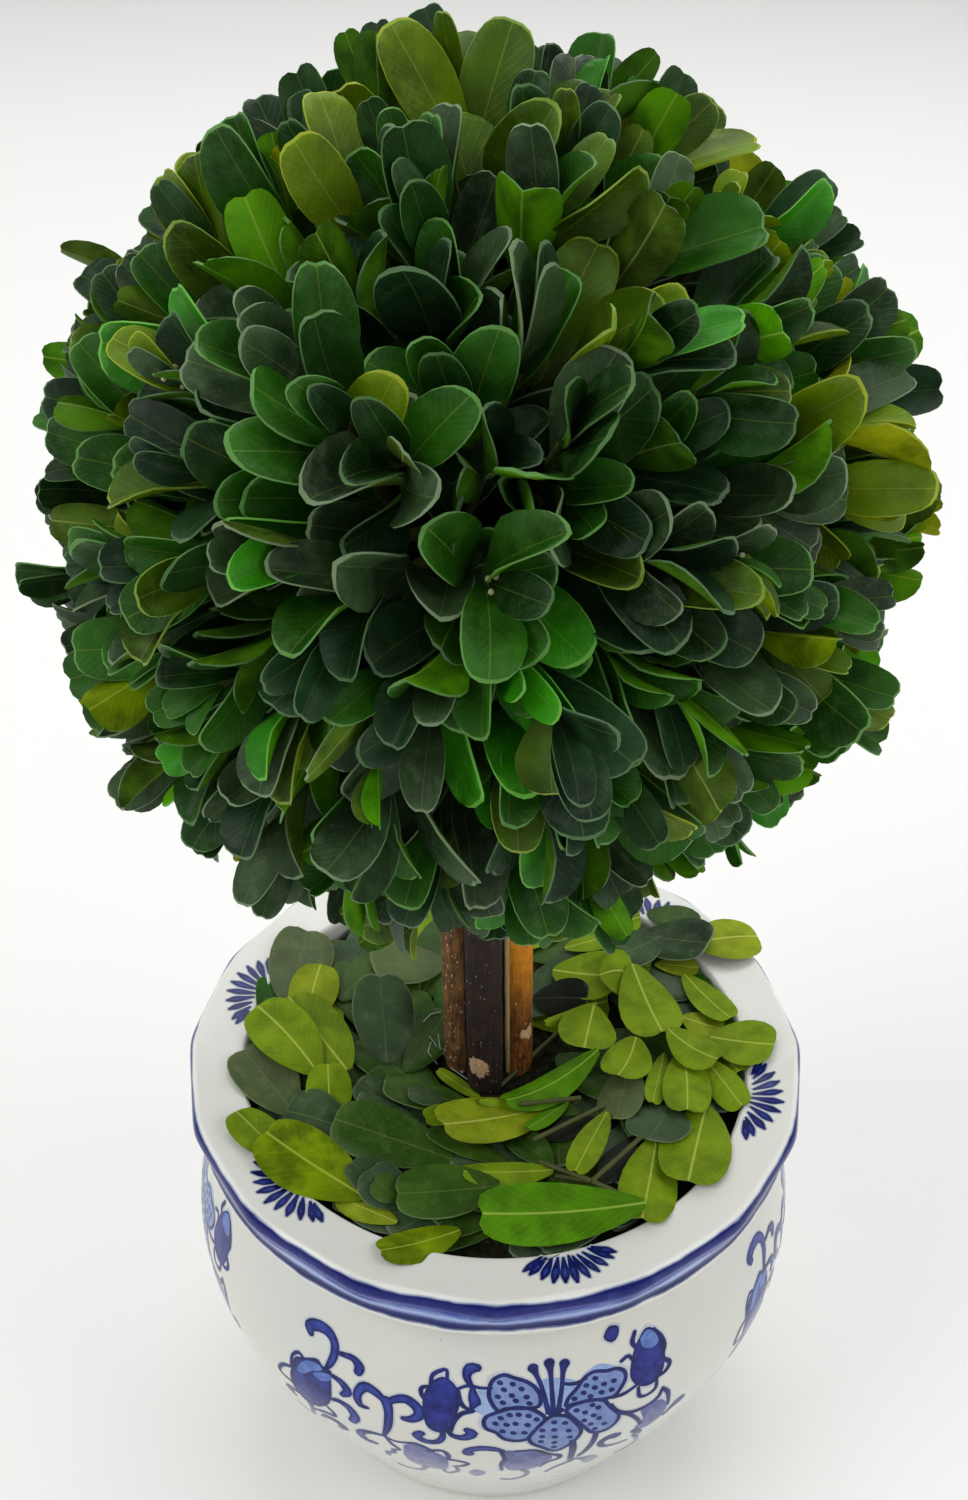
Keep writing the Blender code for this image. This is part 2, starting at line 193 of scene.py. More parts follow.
def grown(name, holder, tree, inputs):
    """The mesh that a node tree with its inputs, by the names of their sockets, makes of an object."""
    modifier = holder.modifiers.new("grown", "NODES")
    modifier.node_group = tree
    for item in tree.interface.items_tree:
        if item.name in inputs:
            modifier[item.identifier] = inputs[item.name]
    graph = bpy.context.evaluated_depsgraph_get()
    mesh = bpy.data.meshes.new_from_object(holder.evaluated_get(graph))
    bpy.data.objects.remove(holder)
    for key in (*POINT_LAYERS, *FACE_LAYERS, "thick"):
        if mesh.attributes.get(key):
            mesh.attributes.remove(mesh.attributes[key])
    mesh.name = name
    return mesh


def settle(name, mesh, slot, *nodes):
    """Puts a finished mesh on the part's one body, in place of its CAD nodes if any. The slot is not used."""
    piece = object_of(name, mesh)
    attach(piece, "root")
    if nodes:
        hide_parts(*nodes)


# Camera, light and floor

FOCAL_PX = 1451.7
PHOTO_HEIGHT_PX = 1500
PHOTO_MIDDLE_PX = (484, 750)
SENSOR_MM = 36
CAMERA_PLACE = Vector((-2.61, -195.46, 298.04)) * MM
CAMERA_PITCH = math.radians(35.17)
CAMERA_ROLL = math.radians(0.485)
WORLD_STRENGTH = 0.56
# Each soft box: its place and side in metres, and its power in watts.
SOFTBOXES = (
    ("key_box", (-1.4, -0.6, 1.6), 1.0, 12),
    ("fill_box", (1.5, -0.4, 1.4), 1.1, 8),
    ("top_box", (0.1, 0.9, 2.0), 1.4, 16),
)
LIGHTS_AIM = Vector((0, 0, 130 * MM))
FLOOR_HALF = 6


def camera_axes():
    """The directions to the picture's right, to its top and back out of it."""
    level = Vector((1, 0, 0))
    rise = Vector((0, math.sin(CAMERA_PITCH), math.cos(CAMERA_PITCH)))
    right = level * math.cos(CAMERA_ROLL) + rise * math.sin(CAMERA_ROLL)
    up = rise * math.cos(CAMERA_ROLL) - level * math.sin(CAMERA_ROLL)
    return right, up, right.cross(up)


def seen_at(pixel, height):
    """The point at a height that the photo shows at a pixel."""
    right, up, back = camera_axes()
    x, y = ((pixel[i] - PHOTO_MIDDLE_PX[i]) / FOCAL_PX for i in (0, 1))
    ray = right * x - up * y - back
    return CAMERA_PLACE + ray * (height - CAMERA_PLACE.z) / ray.z


def make_camera():
    data = bpy.data.cameras.new("camera")
    data.sensor_fit = "VERTICAL"
    data.sensor_height = SENSOR_MM
    data.lens = SENSOR_MM * FOCAL_PX / PHOTO_HEIGHT_PX
    data.clip_start = 1 * MM
    camera = object_of("camera", data)
    turn = Matrix(camera_axes()).transposed()
    camera.matrix_world = Matrix.Translation(CAMERA_PLACE) @ turn.to_4x4()
    bpy.context.scene.camera = camera


def make_studio():
    """A white sweep under square soft boxes that face the object, as for a catalogue picture."""
    world = bpy.data.worlds.new("studio")
    world.use_nodes = True
    ground = world.node_tree.nodes["Background"]
    ground.inputs["Color"].default_value = (1, 1, 1, 1)
    ground.inputs["Strength"].default_value = WORLD_STRENGTH
    bpy.context.scene.world = world
    bpy.context.scene.view_settings.view_transform = "Standard"
    for name, place, size, power in SOFTBOXES:
        data = bpy.data.lights.new(name, "AREA")
        data.size = size
        data.energy = power
        light = object_of(name, data)
        light.location = place
        light.rotation_euler = (LIGHTS_AIM - light.location).to_track_quat("-Z", "Y").to_euler()
    # Matt white paper sweep: no gloss, a hint of warmth.
    paper = bpy.data.materials.new("white paper sweep")
    paper.use_nodes = True
    finish_material(paper, {"Base Color": linear("#F4F4F2"), "Roughness": 0.9})
    shape = bmesh.new()
    bmesh.ops.create_grid(shape, x_segments=1, y_segments=1, size=FLOOR_HALF)
    object_of("floor", poured(shape, bpy.data.meshes.new("floor"), paper))


# The pot's shape, by the sizes of its CAD solid

POT_HEIGHT = 93 * MM
POT_STEPS = 240
WALL = 4.5 * MM
FLOOR = 6 * MM
FLOOR_RADIUS = 31 * MM
MOUTH_RADIUS = 47.3 * MM
MOUTH_DEPTH = 7.2 * MM
LIP_HEIGHT = 9 * MM
LOBES = 16
LOBE_DEPTH = 0.5 * MM
LOBE_SOFTNESS = 0.05
LOBE_START = 54.5 * MM
LOBE_FADE = 0.6
LOBE_BREADTH = 57.5 * MM - LOBE_START
# The rim and the lip under it, from the mouth outwards: depth below the rim and radius.
MOUTH_MM = ((4.5, 47.3), (2.6, 47.4), (1.6, 47.9))
RIM_MM = ((1.3, 48.7), (0.9, 51.5), (0.35, 54.5), (0.05, 56.2), (0.0, 56.9), (0.5, 57.7), (1.5, 58.1),
          (2.6, 58.1))
LIP_MM = ((4.2, 57.5), (6, 56.9), (7.6, 56.7), (8.7, 56.9), (9.6, 56.7), (11, 55.7), (12.3, 54.5),
          (13.2, 53.7))
BODY_MM = ((14, 53.6), (23, 56.6), (35, 59.1), (46, 58.2), (58, 54.3), (70, 49.3), (80, 44.9),
           (89, 41.2))
INSIDE_DEPTH = 76 * MM
FOOT_MM = ((91, 40.3), (92.2, 39.9), (92.8, 39.3), (93, 38.6))
FOOT_INNER = 34.5 * MM
FOOT_HOLLOW = 1.6 * MM
FOOT_ROUND = ((0.5 * MM, 0), (0, 0.4 * MM), (-0.4 * MM, FOOT_HOLLOW))


def spline(points, spacing=None, per_span=None, closed=False):
    """Points on a Catmull-Rom curve through the given ones, by spacing or by number in each span."""
    given = np.array(points, float)
    if closed:
        ends = np.concatenate([given[-1:], given, given[:2]])
    else:
        ends = np.concatenate([2 * given[:1] - given[1:2], given, 2 * given[-1:] - given[-2:-1]])
    made = []
    for before, start, stop, after in zip(ends, ends[1:], ends[2:], ends[3:]):
        count = per_span or max(1, round(np.linalg.norm((stop - start)[:2]) / spacing))
        for t in np.arange(count) / count:
            made.append(0.5 * (2 * start + (stop - before) * t
                               + (2 * before - 5 * start + 4 * stop - after) * t ** 2
                               + (3 * start - before - 3 * stop + after) * t ** 3))
    if not closed:
        made.append(ends[-2])
    return np.array(made)


def arc_lengths(profile):
    """How far along a profile each of its points lies."""
    return np.concatenate([[0], np.cumsum(np.hypot(*np.diff(profile, axis=0).T))])


# The pot's outer side from the mouth's edge to the foot, as (radius, height).
SIDE_DEPTH, SIDE_RADIUS = spline([*MOUTH_MM, *RIM_MM, *LIP_MM, *BODY_MM, *FOOT_MM], per_span=5).T * MM
SIDE = np.stack([SIDE_RADIUS, POT_HEIGHT - SIDE_DEPTH], 1)
BODY_SIDE = spline([*BODY_MM, *FOOT_MM], per_span=8) * MM
BODY_ARC = arc_lengths(BODY_SIDE)


def lathe(name, profile, steps, shape_point, smooth_deg=35):
    """A closed body turned about Z. Its UV map runs once round along U and down the profile along V."""
    points, rings = [], []
    arc = arc_lengths(profile)
    arc /= arc[-1]
    for radius, height in profile:
        if radius < 1e-7:
            rings.append([len(points)] * steps)
            points.append((0, 0, height))
            continue
        rings.append(range(len(points), len(points) + steps))
        for j in range(steps):
            turn = math.tau * j / steps - math.pi / 2
            points.append(shape_point(radius * math.cos(turn), radius * math.sin(turn), height))
    faces, places = [], []
    for i in range(len(rings) - 1):
        for j in range(steps):
            k = (j + 1) % steps
            face = []
            for ring, column, turn in ((i, j, j), (i + 1, j, j), (i + 1, k, j + 1), (i, k, j + 1)):
                if rings[ring][column] not in face:
                    face.append(rings[ring][column])
                    places.append((turn / steps, 1 - arc[ring]))
            faces.append(face)
    mesh = smoothed(mesh_of(name, points, faces), smooth_deg)
    mesh.uv_layers.new(name="turned").data.foreach_set("uv", np.array(places, np.float32).ravel())
    return mesh


def lobed(x, y, z):
    """Presses the rim and lip into lobes: soft points, one of them in front, with bays between them."""
    radius = math.hypot(x, y)
    lip_foot = POT_HEIGHT - LIP_HEIGHT
    if radius < LOBE_START or z < lip_foot:
        return x, y, z
    bay = math.sin((math.atan2(y, x) + math.pi / 2) * LOBES / 2)
    wave = 1 - 2 * math.sqrt(bay * bay + LOBE_SOFTNESS)
    share = min(1, (z - lip_foot) / (LOBE_FADE * LIP_HEIGHT)) * min(1, (radius - LOBE_START) / LOBE_BREADTH)
    scale = (radius + LOBE_DEPTH * wave * share) / radius
    return x * scale, y * scale, z


# The painted lip, by the distance down from the rim's crest in mm: a pale bleed, a dark edge, a blue band
# that thins out to a pale crease, partly a painted highlight, and a dark line under it, darkened further as
# painted shade where the lip turns under.
LIP_BANDS = ((-0.4, "#F1F2EB"), (0.0, "#9CA8C8"), (0.35, "#000E62"), (2.0, "#000C70"), (2.9, "#0C2C9C"),
             (4.0, "#3450AC"), (5.0, "#6A82C8"), (5.8, "#A6B8EA"), (6.3, "#8494CC"), (7.0, "#1A2870"),
             (8.0, "#0A1858"), (8.35, "#7880A8"), (8.6, "#E2E3DC"))
LIP_CREST = 57.7 * MM
LIP_CREST_DEPTH = 2.6 * MM
LIP_WAVER = 1.6 * MM
# Distances between which the brush's streaks, the cobalt, the ring at the foot, the painted light on the
# lip and the biscuit fade.
STREAKS_UPPER, STREAKS_LOWER = (0.6 * MM, 1.4 * MM), (6 * MM, 4 * MM)
COBALT_INNER, COBALT_LOWER = (53.5 * MM, 54 * MM), (10.5 * MM, 10 * MM)
RING_UPPER, RING_LOWER = (89.4 * MM, 89.7 * MM), (90.6 * MM, 90.3 * MM)
LIP_PAINTED_LIGHT, BISCUIT = (11 * MM, 8 * MM), (0.35 * MM, 0.15 * MM)
STREAK_SPREAD, STREAK_STRENGTH = (0.45, 0.8), 0.25
CLOUD_SPREAD = (0.3, 0.7)
# Iron specks under the glaze, about 0.3 mm across and a few centimetres apart: as shares of their cells.
SPECK_CELL, SPECK_EDGE, SPECK_STRENGTH = 9 * MM, (0.032, 0.014), 0.5
RING_STRENGTH = 0.75
GLOSS, GLOSS_SWING, BISCUIT_ROUGH = 0.07, 0.05, 0.8
RIPPLE_HEIGHT = 0.12 * MM
# Noise in the glaze: 1 over the size of its lumps, detail and roughness.
LIP_WAVES, LIP_STREAKS = (1 / (8 * MM), 3), (1 / (2.5 * MM), 4, 0.6)
CLOUDS, SHINE, RIPPLES = (1 / (22 * MM), 2), (1 / (5 * MM), 4), (1 / (9 * MM), 2)
ALONG_LIP = (1, 1, 0.25)


def cobalt_lip(node, colour, depth, radius, coords):
    """The lip's cobalt, brushed on round the pot, so that its edges waver."""
    inset = node(*MAXIMUM, node(*SUBTRACT, LIP_CREST, radius), 0)
    inset = node(*MULTIPLY, inset, node(*LESS_THAN, depth, LIP_CREST_DEPTH))
    drift = node(*MULTIPLY_ADD, node(*NOISE, coords, *LIP_WAVES), LIP_WAVER, -0.5 * LIP_WAVER)
    level = node(*ADD, node(*SUBTRACT, depth, inset), drift)
    low, high = LIP_BANDS[0][0] * MM, LIP_BANDS[-1][0] * MM
    bands = node("ShaderNodeValToRGB", {}, node(*DIVIDE, node(*SUBTRACT, level, low), high - low))
    stops = bands.node.color_ramp.elements
    while len(stops) < len(LIP_BANDS):
        stops.new(1.0)
    for stop, (place, shade) in zip(stops, LIP_BANDS):
        stop.position = (place * MM - low) / (high - low)
        stop.color = linear(shade)
    streaks = node(*NOISE, node(*STRETCH, coords, ALONG_LIP), *LIP_STREAKS)
    band = node(*MULTIPLY, node(*STEP, level, *STREAKS_UPPER), node(*STEP, level, *STREAKS_LOWER))
    streaks = node(*MULTIPLY, node(*STEP, streaks, *STREAK_SPREAD), node(*MULTIPLY, band, STREAK_STRENGTH))
    blue = node(*BLEND, streaks, bands, linear("#4A62AE"))
    mask = node(*MULTIPLY, node(*STEP, radius, *COBALT_INNER), node(*STEP, depth, *COBALT_LOWER))
    return node(*BLEND, mask, colour, blue)


def make_glaze():
    """White stoneware under a clear, slightly blue-grey glaze: wet gloss, faint pooling and pinholes."""
    made, node, coords = new_material("clear glazed porcelain")
    place = node(*SPLIT, coords).node.outputs
    depth = node(*SUBTRACT, POT_HEIGHT, place["Z"])
    radius = node(*LENGTH, node(*JOIN, place["X"], place["Y"]))
    cloud = node(*STEP, node(*NOISE, coords, *CLOUDS), *CLOUD_SPREAD)
    colour = node(*BLEND, cloud, linear("#DDDCD2"), linear("#D6D9D3"))
    # Painted light: the glaze is painted whiter on the lip, to lift it where the ball above shades it.
    colour = node(*BLEND, node(*STEP, depth, *LIP_PAINTED_LIGHT), colour, linear("#F1F2EB"))
    speck = node(*STEP, node(*CELLS, coords, 1 / SPECK_CELL), *SPECK_EDGE)
    colour = node(*BLEND, node(*MULTIPLY, speck, SPECK_STRENGTH), colour, linear("#8A8072"))
    colour = cobalt_lip(node, colour, depth, radius, coords)
    # A thin grey-blue ring just above the foot, and the bare biscuit ring that it stands on.
    ring = node(*MULTIPLY, node(*STEP, depth, *RING_UPPER), node(*STEP, depth, *RING_LOWER))
    colour = node(*BLEND, node(*MULTIPLY, ring, RING_STRENGTH), colour, linear("#66719A"))
    biscuit = node(*STEP, place["Z"], *BISCUIT)
    colour = node(*BLEND, biscuit, colour, linear("#D8CDB8"))
    rough = node(*MULTIPLY_ADD, node(*NOISE, coords, *SHINE), GLOSS_SWING, GLOSS)
    rough = node(*MAXIMUM, rough, node(*MULTIPLY, biscuit, BISCUIT_ROUGH))
    bump = node(*BUMP, 1, RIPPLE_HEIGHT, None, node(*NOISE, coords, *RIPPLES))
    return finish_material(made, {"Base Color": colour, "Roughness": rough, "IOR": 1.5,
                                  "Specular IOR Level": 0.28, "Normal": bump})


def make_pot():
    """The bulbous bowl with its lobed lip, hollow, on a foot ring that is turned out underneath."""
    inside = [(radius * MM - WALL, POT_HEIGHT - depth * MM) for depth, radius in spline(BODY_MM, per_span=4)
              if depth * MM < INSIDE_DEPTH]
    inner = [(0, FLOOR), (FLOOR_RADIUS, FLOOR), *reversed(inside), (MOUTH_RADIUS, POT_HEIGHT - MOUTH_DEPTH)]
    under = [(FOOT_INNER + out, height) for out, height in FOOT_ROUND]
    mesh = lathe("pot_glazed", np.array([*inner, *SIDE, *under, (0, FOOT_HOLLOW)]), POT_STEPS, lobed)
    mesh.materials.append(make_glaze())
    settle("pot_glazed", mesh, "glaze", "pot")


# Brush painting on the pot. The pattern's points are (x, y, width) in sixths of a millimetre, along and
# down the pot's side from the top of its body. PATTERN_FRONT is the x that lies in front.

PATTERN_UNIT = MM / 6
UNIT_DEG = 0.1676
PATTERN_FRONT = 537
PATTERN_REPEATS = 4
STROKE_SPACING = 3.2
STROKE_END = (1.0, 0.86, 0.5)
THINNEST = 0.25
PATCH_RINGS = (1.0, 0.7, 0.38)
SUNK = 0.05 * MM

# Curls with a dark edge and a lighter core.
CURLS = (
    ((333, 64, 8), (331, 56, 13), (341, 49, 14), (354, 49, 13), (363, 58, 10), (365, 72, 9), (362, 86, 8),
     (357, 99, 4)),
    ((365, 70, 4), (376, 68, 6), (387, 67, 8), (395, 74, 11), (394, 82, 9)),
    ((427, 109, 6), (416, 100, 10), (404, 97, 12), (397, 106, 10), (395, 117, 9), (399, 127, 7),
     (407, 127, 3)),
    ((427, 109, 6), (437, 100, 9), (448, 96, 11), (459, 103, 11), (462, 114, 11), (454, 123, 9),
     (446, 125, 6)),
    ((427, 106, 12), (430, 122, 9), (429, 145, 8), (424, 168, 4)),
    ((424, 171, 3), (409, 175, 5), (397, 184, 8), (394, 195, 10), (399, 206, 10), (410, 204, 6)),
    ((352, 104, 3), (366, 104, 5), (377, 107, 8), (384, 116, 10), (378, 124, 6)),
    ((362, 143, 3), (374, 138, 6), (386, 142, 9), (392, 154, 11), (388, 166, 9)),
    ((519, 41, 9), (512, 42, 12), (509, 52, 8), (513, 63, 5)),
    ((512, 171, 11), (512, 164, 9), (524, 158, 9), (538, 159, 8), (547, 164, 5)),
    ((491, 130, 4), (497, 138, 6), (508, 139, 9), (516, 131, 11), (511, 126, 7)),
    ((486, 130, 5), (486, 143, 6), (480, 154, 7), (468, 157, 8), (459, 149, 9), (464, 143, 8)),
    ((515, 66, 4), (516, 76, 9), (518, 86, 12), (516, 90, 7)),
)
# Leaf buds: the filled body of each. The last one floats alone above the gap between two clusters.
BUDS = (
    ((318, 112), (330, 104), (345, 98), (360, 103), (363, 120), (361, 140), (356, 158), (343, 176),
     (328, 186), (314, 172), (311, 150), (314, 130)),
    ((474, 66), (484, 58), (493, 62), (500, 74), (501, 92), (497, 110), (492, 128), (482, 134), (472, 128),
     (467, 108), (467, 85)),
    ((692, 46), (703, 34), (712, 39), (719, 56), (722, 72), (720, 90), (713, 104), (700, 107), (688, 99),
     (682, 85), (684, 68), (687, 57)),
    ((657, 20), (662, 14), (671, 17), (669, 27), (663, 31), (656, 25)),
)
PALE_BUDS = (
    ((446, 178), (460, 171), (474, 178), (488, 190), (490, 210), (488, 232), (480, 246), (462, 250),
     (448, 240), (442, 215), (443, 195)),
    ((693, 143), (712, 141), (722, 150), (727, 168), (722, 186), (708, 195), (694, 188), (690, 178),
     (697, 165)),
    ((546, 166), (560, 164), (578, 170), (593, 182), (599, 194), (590, 208), (582, 224), (570, 230),
     (556, 226), (549, 206), (549, 186)),
    ((520, 226), (528, 236), (528, 250), (519, 264), (512, 250), (513, 236)),
    ((632, 222), (645, 224), (656, 240), (657, 258), (648, 268), (640, 250)),
)
# Lighter touches on the buds, and the wash beside the flower.
TOUCHES = (
    ((330, 106), (345, 99), (352, 104), (340, 114), (328, 128), (320, 126)),
    ((345, 112), (362, 104), (363, 112), (352, 120), (342, 118)),
    ((696, 42), (705, 35), (713, 42), (717, 56), (708, 60), (698, 54)),
)
WASHES = (
    ((521, 68), (533, 68), (536, 85), (541, 97), (530, 103), (519, 98), (515, 92), (522, 82)),
    ((578, 66), (595, 58), (622, 70), (612, 98), (590, 100)),
    ((628, 64), (645, 54), (663, 62), (664, 67), (642, 62)),
)
PETALS = (
    ((533, 62), (537, 54), (547, 49), (557, 53), (570, 59), (579, 68), (584, 80), (582, 93), (566, 94),
     (550, 93), (542, 96), (536, 88), (532, 76)),
    ((527, 112), (530, 104), (545, 96), (560, 92), (575, 96), (587, 107), (588, 114), (580, 125),
     (574, 135), (570, 142), (558, 143), (547, 138), (540, 128), (530, 122)),
    ((610, 98), (613, 88), (622, 78), (630, 67), (641, 62), (655, 66), (665, 67), (674, 74), (675, 85),
     (668, 97), (660, 103), (645, 101), (635, 98), (620, 98)),
    ((610, 105), (618, 99), (636, 99), (650, 104), (656, 115), (662, 125), (667, 135), (664, 147),
     (655, 155), (645, 155), (637, 150), (630, 138), (620, 122)),
    ((574, 135), (582, 122), (592, 111), (600, 109), (612, 114), (620, 126), (626, 140), (624, 152),
     (616, 165), (605, 174), (597, 173), (588, 163), (577, 152), (573, 143)),
)
PETAL_DOTS = (
    (543, 59), (556, 61), (547, 68), (565, 68), (541, 77), (555, 76), (570, 79), (546, 85), (559, 83),
    (573, 88), (544, 106), (553, 102), (562, 102), (572, 105), (580, 111), (539, 114), (550, 116),
    (559, 115), (571, 118), (546, 126), (557, 129), (568, 130), (598, 119), (609, 123), (586, 129),
    (598, 131), (613, 137), (586, 140), (599, 144), (585, 149), (615, 150), (599, 155), (599, 165),
    (621, 108), (638, 106), (630, 114), (644, 112), (639, 122), (629, 126), (645, 129), (636, 135),
    (651, 142), (641, 146), (642, 71), (632, 77), (641, 83), (651, 82), (662, 82), (629, 86), (619, 91),
    (636, 93), (648, 92), (659, 93),
)
DOT_WIDTH = 5.6
# Stamens, the outlines of the buds' lobes, tendrils and stems.
LINES = (
    ((577, 43, 11), (580, 51, 5), (586, 70, 4), (592, 103, 5)),
    ((594, 39, 11), (595, 50, 5), (596, 75, 4), (597, 104, 5)),
    ((610, 43, 11), (608, 53, 5), (606, 75, 4), (602, 104, 5)),
    ((592, 103, 6), (598, 105, 9), (605, 103, 6)),
    ((607, 68, 3), (620, 71, 4), (632, 68, 3)),
    ((312, 131, 3), (313, 112, 3), (321, 101, 4), (329, 104, 3), (337, 99, 3), (346, 95, 4), (352, 101, 3),
     (362, 100, 3)),
    ((312, 131, 3), (300, 139, 4), (293, 152, 4), (295, 160, 3), (311, 162, 3)),
    ((363, 118, 3), (362, 140, 4), (356, 158, 4), (343, 177, 3)),
    ((357, 164, 3), (365, 171, 4), (364, 178, 5), (352, 183, 4), (335, 196, 3)),
    ((424, 171, 3), (434, 176, 3), (447, 172, 3), (457, 168, 4), (468, 172, 4), (476, 178, 3)),
    ((425, 173, 3), (431, 188, 4), (438, 197, 3), (430, 206, 4), (431, 216, 3)),
    ((470, 180, 3), (477, 175, 4), (486, 173, 4), (491, 183, 5), (490, 196, 4)),
    ((490, 195, 3), (501, 196, 4), (511, 202, 4), (505, 213, 4), (496, 219, 3)),
    ((498, 220, 3), (499, 240, 4), (492, 258, 4), (485, 262, 4), (483, 246, 3)),
    ((431, 214, 4), (421, 228, 6), (419, 244, 4)),
    ((462, 248, 6), (457, 270, 5), (447, 290, 5), (430, 298, 7), (424, 290, 5)),
    ((472, 68, 3), (474, 56, 4), (482, 49, 4), (488, 47, 3), (489, 58, 3)),
    ((472, 71, 3), (463, 76, 4), (464, 86, 4), (469, 92, 3)),
    ((500, 70, 4), (503, 86, 5), (509, 94, 4), (517, 97, 4), (505, 102, 5), (498, 114, 4), (494, 130, 4)),
    ((500, 70, 3), (506, 66, 3), (513, 64, 4), (522, 66, 3), (534, 66, 3)),
    ((713, 38, 3), (721, 52, 4), (724, 66, 4), (720, 80, 4), (728, 92, 5), (722, 101, 4), (709, 103, 3)),
    ((690, 31, 4), (686, 42, 5), (690, 52, 3)),
    ((672, 60, 4), (680, 57, 4), (686, 67, 3)),
    ((689, 105, 3), (690, 118, 4), (699, 122, 3), (709, 118, 4), (711, 106, 3)),
    ((660, 104, 4), (673, 105, 4), (688, 100, 3)),
    ((658, 114, 3), (664, 126, 4), (674, 136, 5), (688, 141, 5), (703, 140, 4), (713, 135, 5),
     (718, 124, 3)),
    ((718, 124, 3), (725, 136, 5), (727, 150, 4), (728, 164, 3)),
    ((668, 133, 3), (679, 142, 4), (689, 158, 4), (696, 176, 4)),
    ((727, 186, 5), (733, 180, 6), (741, 173, 12), (746, 171, 12)),
    ((685, 213, 3), (668, 208, 4), (655, 198, 5), (651, 184, 8), (660, 177, 11), (668, 180, 11)),
    ((690, 188, 8), (697, 198, 7), (701, 208, 4)),
    ((692, 203, 4), (700, 222, 5), (707, 245, 5), (712, 268, 5), (704, 286, 6), (692, 284, 7)),
    ((545, 166, 3), (549, 183, 4), (546, 200, 4), (547, 226, 3)),
    ((560, 165, 3), (580, 167, 4), (596, 182, 4), (606, 190, 5), (606, 200, 5), (594, 207, 4),
     (588, 222, 3)),
    ((570, 230, 6), (576, 250, 5), (573, 275, 5), (560, 292, 6), (550, 286, 6)),
    ((618, 160, 7), (620, 182, 7), (620, 205, 6), (622, 225, 5)),
    ((643, 156, 6), (641, 175, 6), (635, 195, 6), (629, 208, 4)),
    ((622, 222, 5), (606, 240, 5), (598, 262, 3)),
    ((621, 214, 4), (632, 222, 5), (640, 230, 3)),
    ((318, 178, 4), (307, 181, 7), (300, 189, 10), (306, 197, 6)),
    ((342, 208, 3), (350, 197, 6), (363, 193, 9), (373, 200, 10), (367, 209, 6)),
    ((331, 186, 7), (330, 205, 5), (324, 228, 5), (312, 250, 6), (298, 256, 8), (294, 248, 6)),
)
# Each paint: how far it stands off the glaze, its finish and its thin and pooled colours.
PAINTS = {
    "halo": (0.02 * MM, "cobalt bleed", "#C8CDD2", "#B9C2D2"),
    "wash": (0.03 * MM, "pale cobalt wash", "#9DB4DC", "#86A0D0"),
    "petals": (0.035 * MM, "petal wash", "#8298C8", "#6C82BC"),
    "buds": (0.042 * MM, "deep cobalt", "#2B3590", "#181C66"),
    "pale_buds": (0.042 * MM, "grey cobalt", "#6A70A6", "#484E8A"),
    "lines": (0.055 * MM, "cobalt outline", "#1E2A74", "#111850"),
    "cores": (0.068 * MM, "cobalt in the curls", "#3448A0", "#222C84"),
    "touches": (0.068 * MM, "light cobalt touches", "#6C8CC8", "#4E6AB2"),
}
# Each paint's filled shapes, how far the halo spreads round them and how wide their outline is.
PATCHES = {"buds": (BUDS, 4, 3), "pale_buds": (PALE_BUDS, 3, None), "touches": (TOUCHES, None, None),
           "wash": (WASHES, None, None), "petals": (PETALS, 5, 4.6)}
# How much wider than its strokes the halo, the line and the core of each kind of stroke are.
LINE_EXTRAS = (4, 0.9)
CURL_EXTRAS = (5, 1.2, -4.5)
FAN_EXTRAS = (4, 0.8, -5.5)
# A stroke's sides, and the width under which it ends.
STROKE_SIDES = (-1, 0, 1)
SLIMMEST = 1.2
# Where the cobalt pools: noise with some distortion, and its spread.
POOLS, POOL_SPREAD = (1 / (2.4 * MM), 4, 0.6, None, 0.3), (0.34, 0.66)


BODY_SLOPE = np.gradient(BODY_SIDE, BODY_ARC, axis=0)
RIM_TOP = spline(RIM_MM, per_span=6) * MM
RIM_TOP = RIM_TOP[:np.argmax(RIM_TOP[:, 1] > 56.5 * MM)]

# Each fan: where it is round the rim, and its share of the full breadth.
FANS = ((44.1, 1), (104.1, 1), (164.1, 1), (224.1, 0.95), (284.1, 0.78), (344.1, 1))
FAN_STROKES = 9
FAN_HALF_DEG = 7.8
FAN_END = 1.15
FAN_RADIUS_MM = 51.9
FAN_CURVE_MM = 1.7
FAN_LENGTH_MM = 5.6
FAN_SHORTER = 0.22
FAN_WIDTH = 7.8
FAN_SPLAY = math.radians(58)
# A fan's stroke: the share of its length and of its width, along it.
FAN_STROKE = ((-0.5, 0.25), (-0.15, 0.75), (0.2, 1.0), (0.5, 0.3))


def on_body(x, y, lift, repeat):
    """Points on the pot's side at a place in the pattern, raised by lift."""
    arc = y * PATTERN_UNIT
    depth, radius, d_depth, d_radius = (
        np.interp(arc, BODY_ARC, side) for side in (*BODY_SIDE.T, *BODY_SLOPE.T))
    turn = np.radians(-90 + (x - PATTERN_FRONT) * UNIT_DEG + 360 * repeat / PATTERN_REPEATS)
    out = radius + lift * d_depth
    return np.stack([out * np.cos(turn), out * np.sin(turn), POT_HEIGHT - depth + lift * d_radius], -1)


def on_rim(x, y, lift, _):
    """Points on the rim's top, x round the pot at the fans' radius and y the distance from its axis."""
    turn, radius = x * PATTERN_UNIT / (FAN_RADIUS_MM * MM), y * PATTERN_UNIT
    depth = np.interp(radius, RIM_TOP[:, 1], RIM_TOP[:, 0])
    return np.stack([radius * np.cos(turn), radius * np.sin(turn), POT_HEIGHT - depth + lift], -1)


